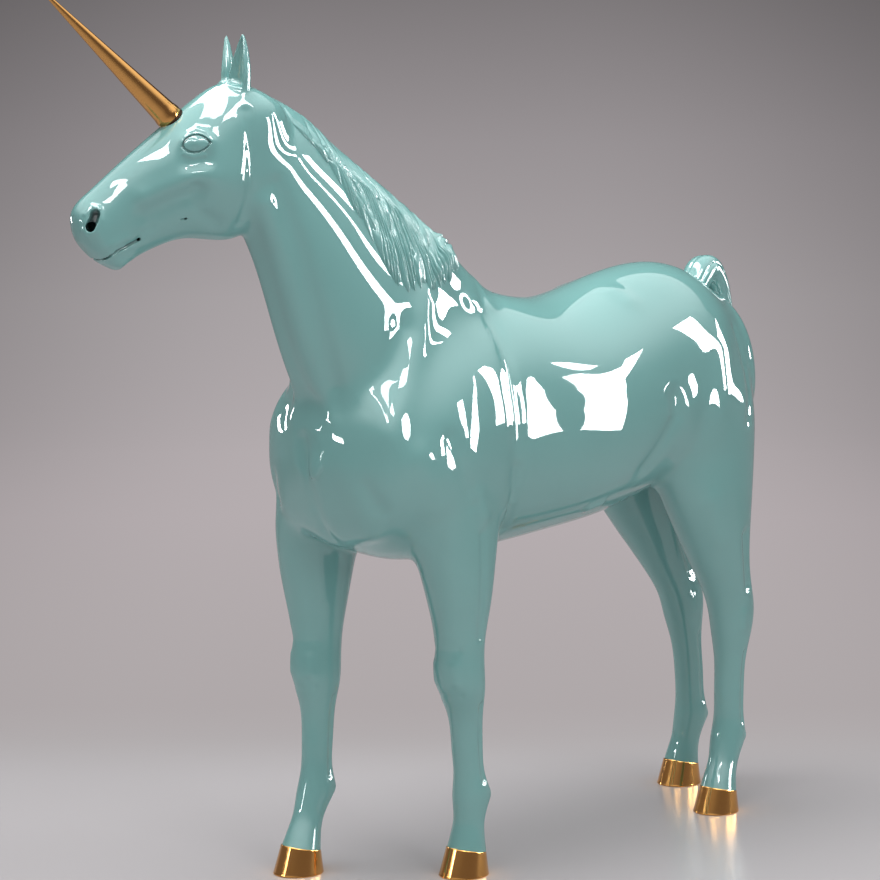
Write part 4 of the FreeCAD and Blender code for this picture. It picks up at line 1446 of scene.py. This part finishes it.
class Studio:
    """Camera, floor, backdrop and lights."""

    LENS_PIXELS = 2700.0
    FRAME_PIXELS = 880.0
    SENSOR = 36.0
    YAW, PITCH = math.radians(-134.0), math.radians(-5.7)
    # The camera's place, in heights at the withers.
    EYE = (4.005, 3.365, 1.21)

    # The sweep in metres: reach to each side, start and radius of its bend, height and length run.
    SWEEP_SIDE, SWEEP_START, SWEEP_RADIUS, SWEEP_TOP, SWEEP_RUN = 24.0, 10.0, 4.0, 16.0, 18.0
    FLOOR_COLOUR = (0.535, 0.508, 0.520)
    # Backdrop: metres along the sweep from the figure, and its tone there, a painted falloff of light that
    # darkens up the sweep.
    BACKDROP_TONES = (
        (1.2, (0.45, 0.425, 0.43)), (2.0, (0.43, 0.395, 0.40)), (7.0, (0.463, 0.418, 0.43)),
        (10.2, (0.457, 0.415, 0.427)), (12.7, (0.40, 0.37, 0.38)), (14.2, (0.315, 0.29, 0.30)),
        (15.5, (0.20, 0.185, 0.19)), (18.0, (0.12, 0.11, 0.115)))
    # Where the floor passes into the backdrop, and where the backdrop's painted pool of light fades to darker
    # sides.
    FLOOR_EDGE, SIDE_FADE = (0.8, 1.6), (0.9, 4.6)
    SIDE_DIM = 0.62

    GLOW_COLOUR = (0.95, 1.0, 1.0)
    PANEL_REACH = 6.0
    REFLECTIONS = (
        Reflection(((555, 377), (570, 371), (585, 364), (612, 363), (618, 375), (625, 393), (621, 430),
                    (580, 430), (582, 410), (572, 390)), 24.0),
        Reflection(((322, 443), (334, 438), (347, 435), (346, 446), (332, 451), (322, 450)), 24.0),
        Reflection(((104, 200), (118, 191), (140, 171), (160, 151), (172, 140), (168, 150), (152, 162),
                    (130, 184), (112, 200)), 16.0),
        Reflection(((186, 111), (200, 98), (216, 87), (228, 94), (220, 116), (208, 124), (196, 122)), 12.0),
        Reflection(((278, 417), (282, 413), (285, 428), (279, 431)), 24.0),
        Reflection(((466, 643), (477, 645), (479, 668), (470, 668)), 24.0),
        Reflection(((402, 373), (407, 374), (405, 385), (397, 389), (399, 380)), 16.0))
    TALL_WINDOWS = (
        TallWindow(116.0, 122.5, 3.0, 26.0), TallWindow(145.5, 151.5, 3.0, 33.0),
        TallWindow(157.0, 170.0, 0.0, 21.0))
    TALL_CENTRE, TALL_REACH, TALL_STRENGTH = (-0.4, 0.2, 1.2), 6.5, 24.0

    ROOM_COLOUR, ROOM_STRENGTH = (0.98, 1.0, 1.0, 1), 0.58
    # What reflections see of the room, from below to above.
    ROOM_TONES = ((0.28, (0.19, 0.17, 0.18)), (0.72, (1.65, 1.68, 1.68)))
    LAMPS = (Lamp("overhead", (0.6, -0.2, 5.0), 3.6, 190.0), Lamp("window_side", (1.0, 6.0, 4.5), 3.0, 85.0))
    LAMP_AIM = (0, 0, 1.0)

    def __init__(self, shift: Array) -> None:
        """Place the camera.

        Args:
            shift: place of the body's zero point in the row frame.
        """
        self.eye = shift + np.array(self.EYE) * WITHERS
        # What the windows don't light, so that they leave no glare on the floor.
        self.dull = bpy.data.collections.new("without_windows")

    def ways(self, picture: Sequence[tuple[float, float]]) -> Array:
        """Sight lines through places in the picture.

        Args:
            picture: places across and down the picture, which is 880 wide.

        Returns:
            One unit direction for each place.
        """
        ahead = direction(self.YAW, self.PITCH)
        right = unit(np.cross(ahead, [0, 0, 1]))
        spots = (np.asarray(picture, float) - self.FRAME_PIXELS / 2) / self.LENS_PIXELS
        return unit(ahead + spots[:, :1] * right - spots[:, 1:] * np.cross(right, ahead))

    def camera(self) -> None:
        """The photograph's camera."""
        data = bpy.data.cameras.new("camera")
        data.sensor_width = self.SENSOR
        data.lens = self.SENSOR * self.LENS_PIXELS / self.FRAME_PIXELS
        data.clip_end = 100.0
        camera = bpy.data.objects.new("camera", data)
        camera.location = Vector(self.eye)
        camera.rotation_mode = "QUATERNION"
        camera.rotation_quaternion = Vector(direction(self.YAW, self.PITCH)).to_track_quat("-Z", "Y")
        bpy.context.scene.collection.objects.link(camera)
        bpy.context.scene.camera = camera

    def floor(self) -> None:
        """A pale floor that sweeps up into the backdrop behind the figure."""
        ahead = Vector((math.cos(self.YAW), math.sin(self.YAW), 0))
        aside = Vector((-ahead.y, ahead.x, 0))
        bend = [(self.SWEEP_START + self.SWEEP_RADIUS * math.sin(a), self.SWEEP_RADIUS * (1 - math.cos(a)))
                for a in np.radians(np.arange(0, 91, 6))]
        top = (self.SWEEP_START + self.SWEEP_RADIUS, self.SWEEP_TOP)
        profile = [(-self.SWEEP_SIDE, 0.0), (0.0, 0.0)] + bend + [top]
        run = [-self.SWEEP_SIDE]
        for (u, v), (x, y) in zip(profile[:-1], profile[1:]):
            run.append(run[-1] + math.hypot(x - u, y - v))
        sides = (-self.SWEEP_SIDE, self.SWEEP_SIDE)
        vertices = [
            (ahead * along + aside * side + Vector((0, 0, rise)))[:]
            for side in sides for along, rise in profile]
        count = len(profile)
        faces = [[i, i + 1, count + i + 1, count + i] for i in range(count - 1)]
        sweep = mesh_object("floor", np.array(vertices), faces)
        for name, values in (
                ("sweep_length", run + run), ("sweep_width", [side for side in sides for _ in profile])):
            sweep.data.attributes.new(name, "FLOAT", "POINT").data.foreach_set("value", values)
        paint(sweep, self.sweep_finish())
        self.dull.objects.link(sweep)
        self.dull.collection_objects[0].light_linking.link_state = "EXCLUDE"

    def sweep_finish(self) -> bpy.types.Material:
        """Satin floor that takes shadows, and behind it a backdrop that glows with painted light, darker up
        the sweep and to its sides.
        """
        material, shader = principled("sweep_finish")
        tree = material.node_tree
        feed(tree, shader, {
            "Base Color": self.FLOOR_COLOUR + (1,), "Roughness": 0.25, "Specular IOR Level": 0.25})
        length = add_node(tree, "ShaderNodeAttribute", attribute_name="sweep_length").outputs["Fac"]
        share = add_node(tree, "ShaderNodeMapRange", {
            "Value": length, "From Min": 0.0, "From Max": self.SWEEP_RUN})
        tones = [(place / self.SWEEP_RUN, tone) for place, tone in self.BACKDROP_TONES]
        tone = tone_ramp(tree, share.outputs["Result"], "LINEAR", tones)
        width = add_node(tree, "ShaderNodeAttribute", attribute_name="sweep_width").outputs["Fac"]
        far = add_node(tree, "ShaderNodeMath", {0: width}, operation="ABSOLUTE")
        # Painted light: the backdrop dims towards its sides.
        painted_side_dimming = add_node(tree, "ShaderNodeMapRange", {
            "Value": far.outputs[0], "From Min": self.SIDE_FADE[0], "From Max": self.SIDE_FADE[1],
            "To Min": 1.0, "To Max": self.SIDE_DIM}, interpolation_type="SMOOTHSTEP")
        glow = add_node(tree, "ShaderNodeEmission", {"Color": tone, "Strength": painted_side_dimming.outputs["Result"]})
        edge = add_node(tree, "ShaderNodeMapRange", {
            "Value": length, "From Min": self.FLOOR_EDGE[0], "From Max": self.FLOOR_EDGE[1]},
            interpolation_type="SMOOTHSTEP")
        both = add_node(
            tree, "ShaderNodeMath", {0: looked_at(tree), 1: edge.outputs["Result"]}, operation="MULTIPLY")
        mix = add_node(tree, "ShaderNodeMixShader", {
            "Fac": both.outputs[0], 1: shader.outputs[0], 2: glow.outputs[0]})
        feed(tree, tree.nodes["Material Output"], {"Surface": mix.outputs[0]})
        return material

    def windows(self, body: Anatomy) -> None:
        """Bright panels around the studio, each where the skin mirrors it into its place.

        Args:
            body: the skin that mirrors them.
        """
        for number, reflection in enumerate(self.REFLECTIONS):
            ways = self.ways(reflection.outline)
            spots = body.seen(self.eye, ways)
            normal = unit(gradient(body, spots, SLOPE_STEP))
            mirrored = ways - 2 * np.sum(ways * normal, axis=1, keepdims=True) * normal
            self.panel(f"window_{number}", spots + self.PANEL_REACH * mirrored, reflection.strength)
        for number, window in enumerate(self.TALL_WINDOWS):
            azimuths = np.radians([window.near, window.near, window.far, window.far])
            elevations = np.radians([window.low, window.high, window.high, window.low])
            corners = np.array(self.TALL_CENTRE) + self.TALL_REACH * direction(azimuths, elevations)
            self.panel(f"tall_window_{number}", corners, self.TALL_STRENGTH)

    def panel(self, name: str, corners: Array, strength: float) -> None:
        """A bright panel that only reflections show.

        Args:
            name: its name.
            corners: its corners in order.
            strength: how bright it is.
        """
        panel = mesh_object(name, corners, [list(range(len(corners)))])
        material = bpy.data.materials.new(name + "_glow")
        material.use_nodes = True
        tree = material.node_tree
        tree.nodes.clear()
        glow = add_node(tree, "ShaderNodeEmission", {"Color": self.GLOW_COLOUR + (1,), "Strength": strength})
        add_node(tree, "ShaderNodeOutputMaterial", {"Surface": glow.outputs[0]})
        paint(panel, material)
        for ray in ("camera", "diffuse", "shadow", "transmission", "volume_scatter"):
            setattr(panel, "visible_" + ray, False)
        panel.light_linking.receiver_collection = self.dull

    def light(self) -> None:
        """Soft light from above and from the window side, in a dim grey studio."""
        world = bpy.data.worlds.new("room")
        world.use_nodes = True
        tree = world.node_tree
        room = tree.nodes["Background"]
        feed(tree, room, {"Color": self.ROOM_COLOUR, "Strength": self.ROOM_STRENGTH})
        ways = add_node(tree, "ShaderNodeTexCoord")
        height = add_node(tree, "ShaderNodeSeparateXYZ", {0: ways.outputs["Generated"]})
        dim = add_node(tree, "ShaderNodeBackground", {
            "Color": tone_ramp(tree, height.outputs["Z"], "EASE", self.ROOM_TONES)})
        mix = add_node(tree, "ShaderNodeMixShader", {
            "Fac": looked_at(tree), 1: room.outputs[0], 2: dim.outputs[0]})
        feed(tree, tree.nodes["World Output"], {"Surface": mix.outputs[0]})
        bpy.context.scene.world = world
        for lamp in self.LAMPS:
            data = bpy.data.lights.new(lamp.name, "AREA")
            data.size = lamp.size
            data.energy = lamp.power
            light = bpy.data.objects.new(lamp.name, data)
            light.location = lamp.place
            light.rotation_mode = "QUATERNION"
            light.rotation_quaternion = (Vector(self.LAMP_AIM) - Vector(lamp.place)).to_track_quat("-Z", "Y")
            light.visible_glossy = False
            bpy.context.scene.collection.objects.link(light)
        bpy.context.scene.view_settings.view_transform = "Standard"


def other_side(plane: Cut) -> Cut:
    """The same plane, with what it kept cut off."""
    return Cut(plane.at, tuple(-c for c in plane.away))


def skin_patches(body: Anatomy) -> list[Patch]:
    """The pieces of the skin, parted where the mouldings are parted.

    Args:
        body: the skin, for the places of its seams.

    Returns:
        The trunk, the neck, the head and four legs.
    """
    above_waist = Cut((0, 0, WAIST), (0, 0, -1))
    neck_foot = (NECK_SEAM[0] * BODY_LENGTH + body.shift[0], body.shift[1], NECK_SEAM[1] * WITHERS)
    below_neck = Cut(neck_foot, (math.cos(NECK_SEAM_PITCH), 0.0, math.sin(NECK_SEAM_PITCH)))
    half_turn = HEAD_TURN / 2
    behind_head = Cut(tuple(body.neck_place(*HEAD_SEAM)), (math.cos(half_turn), math.sin(half_turn), 0.0))
    patches = [
        Patch("skin_trunk", (-1.16, -0.36, WAIST - SEAM_ROOM), (0.60, 0.36, 1.72), 0.008,
              (above_waist, below_neck), ("torso_left_shell", "torso_right_shell")),
        Patch("skin_neck", (-0.14, -0.25, 1.05), (0.90, 0.25, 2.10), 0.007,
              (other_side(below_neck), behind_head), ("neck_shell",)),
        Patch("skin_head", (0.60, -0.32, 1.50), (1.20, 0.20, 2.16), 0.0025,
              (other_side(behind_head),), ("head_shell", "ear_left", "ear_right"))]
    room = Vector((LIMB_ROOM, LIMB_ROOM, LIMB_ROOM))
    for leg in Leg:
        low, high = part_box(leg.value + "_shell")
        row = body.legs[leg](np.array([HOOF_HEIGHT]))[0]
        coronet = Cut((row[0], row[1], HOOF_HEIGHT), (math.sin(CORONET_TILT), 0.0, -math.cos(CORONET_TILT)))
        top = (high.x + LIMB_ROOM, high.y + LIMB_ROOM, WAIST + SEAM_ROOM)
        patches.append(Patch(
            "skin_" + leg.value, (low - room)[:], top, 0.005,
            (other_side(above_waist), coronet), (leg.value + "_shell",)))
    return patches


def sculpted(shift: Array, studio: Studio) -> Anatomy:
    """The skin with all its strokes, of which the bores come last, on what the others have lifted.

    Args:
        shift: place of the body's zero point in the row frame.
        studio: the camera, through which the strokes are placed.

    Returns:
        The skin.
    """
    body = Anatomy(shift)
    marks = BODY_MARKS + HEAD_MARKS
    lifted = traced([mark for mark in marks if not mark.bore], body, studio)
    body.strokes = tuple(lifted + limb_strokes(body))
    body.strokes += tuple(traced([mark for mark in marks if mark.bore], body, studio))
    return body


def main() -> None:
    """Dress the frame."""
    logging.basicConfig(level=logging.INFO)
    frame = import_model()
    plate_low, plate_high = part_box("foot_plate_fore_left")
    plate = (plate_low + plate_high) / 2
    along, aside = FORE_FOOT_SHARES
    shift = np.array([plate.x - along * BODY_LENGTH, plate.y - aside * BODY_WIDTH, 0.0])
    studio = Studio(shift)
    studio.camera()
    studio.floor()
    studio.light()
    lacquer = Lacquer().build()
    gold = Metal("gold_finish", (0.78, 0.40, 0.12), 0.13).build()
    satin_gold = Metal("satin_gold_finish", (0.62, 0.32, 0.10), 0.12).build()
    steel = Metal("steel_finish", (0.45, 0.46, 0.47), 0.35).build()
    seam = Metal("seam_finish", (0.05, 0.03, 0.02), 0.5).build()
    finishes = {"lacquer": lacquer, "gold": gold, "steel": steel}
    for part in frame["record"]["subparts"]:
        paint(frame["nodes"][part["node"]], finishes[part["material_slot"]])
    body = sculpted(shift, studio)
    for patch in skin_patches(body):
        paint(patch.build(body), lacquer)
    Mane().build(body, lacquer)
    Tail().build(body, lacquer)
    Horn().build(body, satin_gold, seam)
    for leg in Leg:
        Hoof(leg).build(body, gold)
    studio.windows(body)


if __name__ == "__main__":
    main()
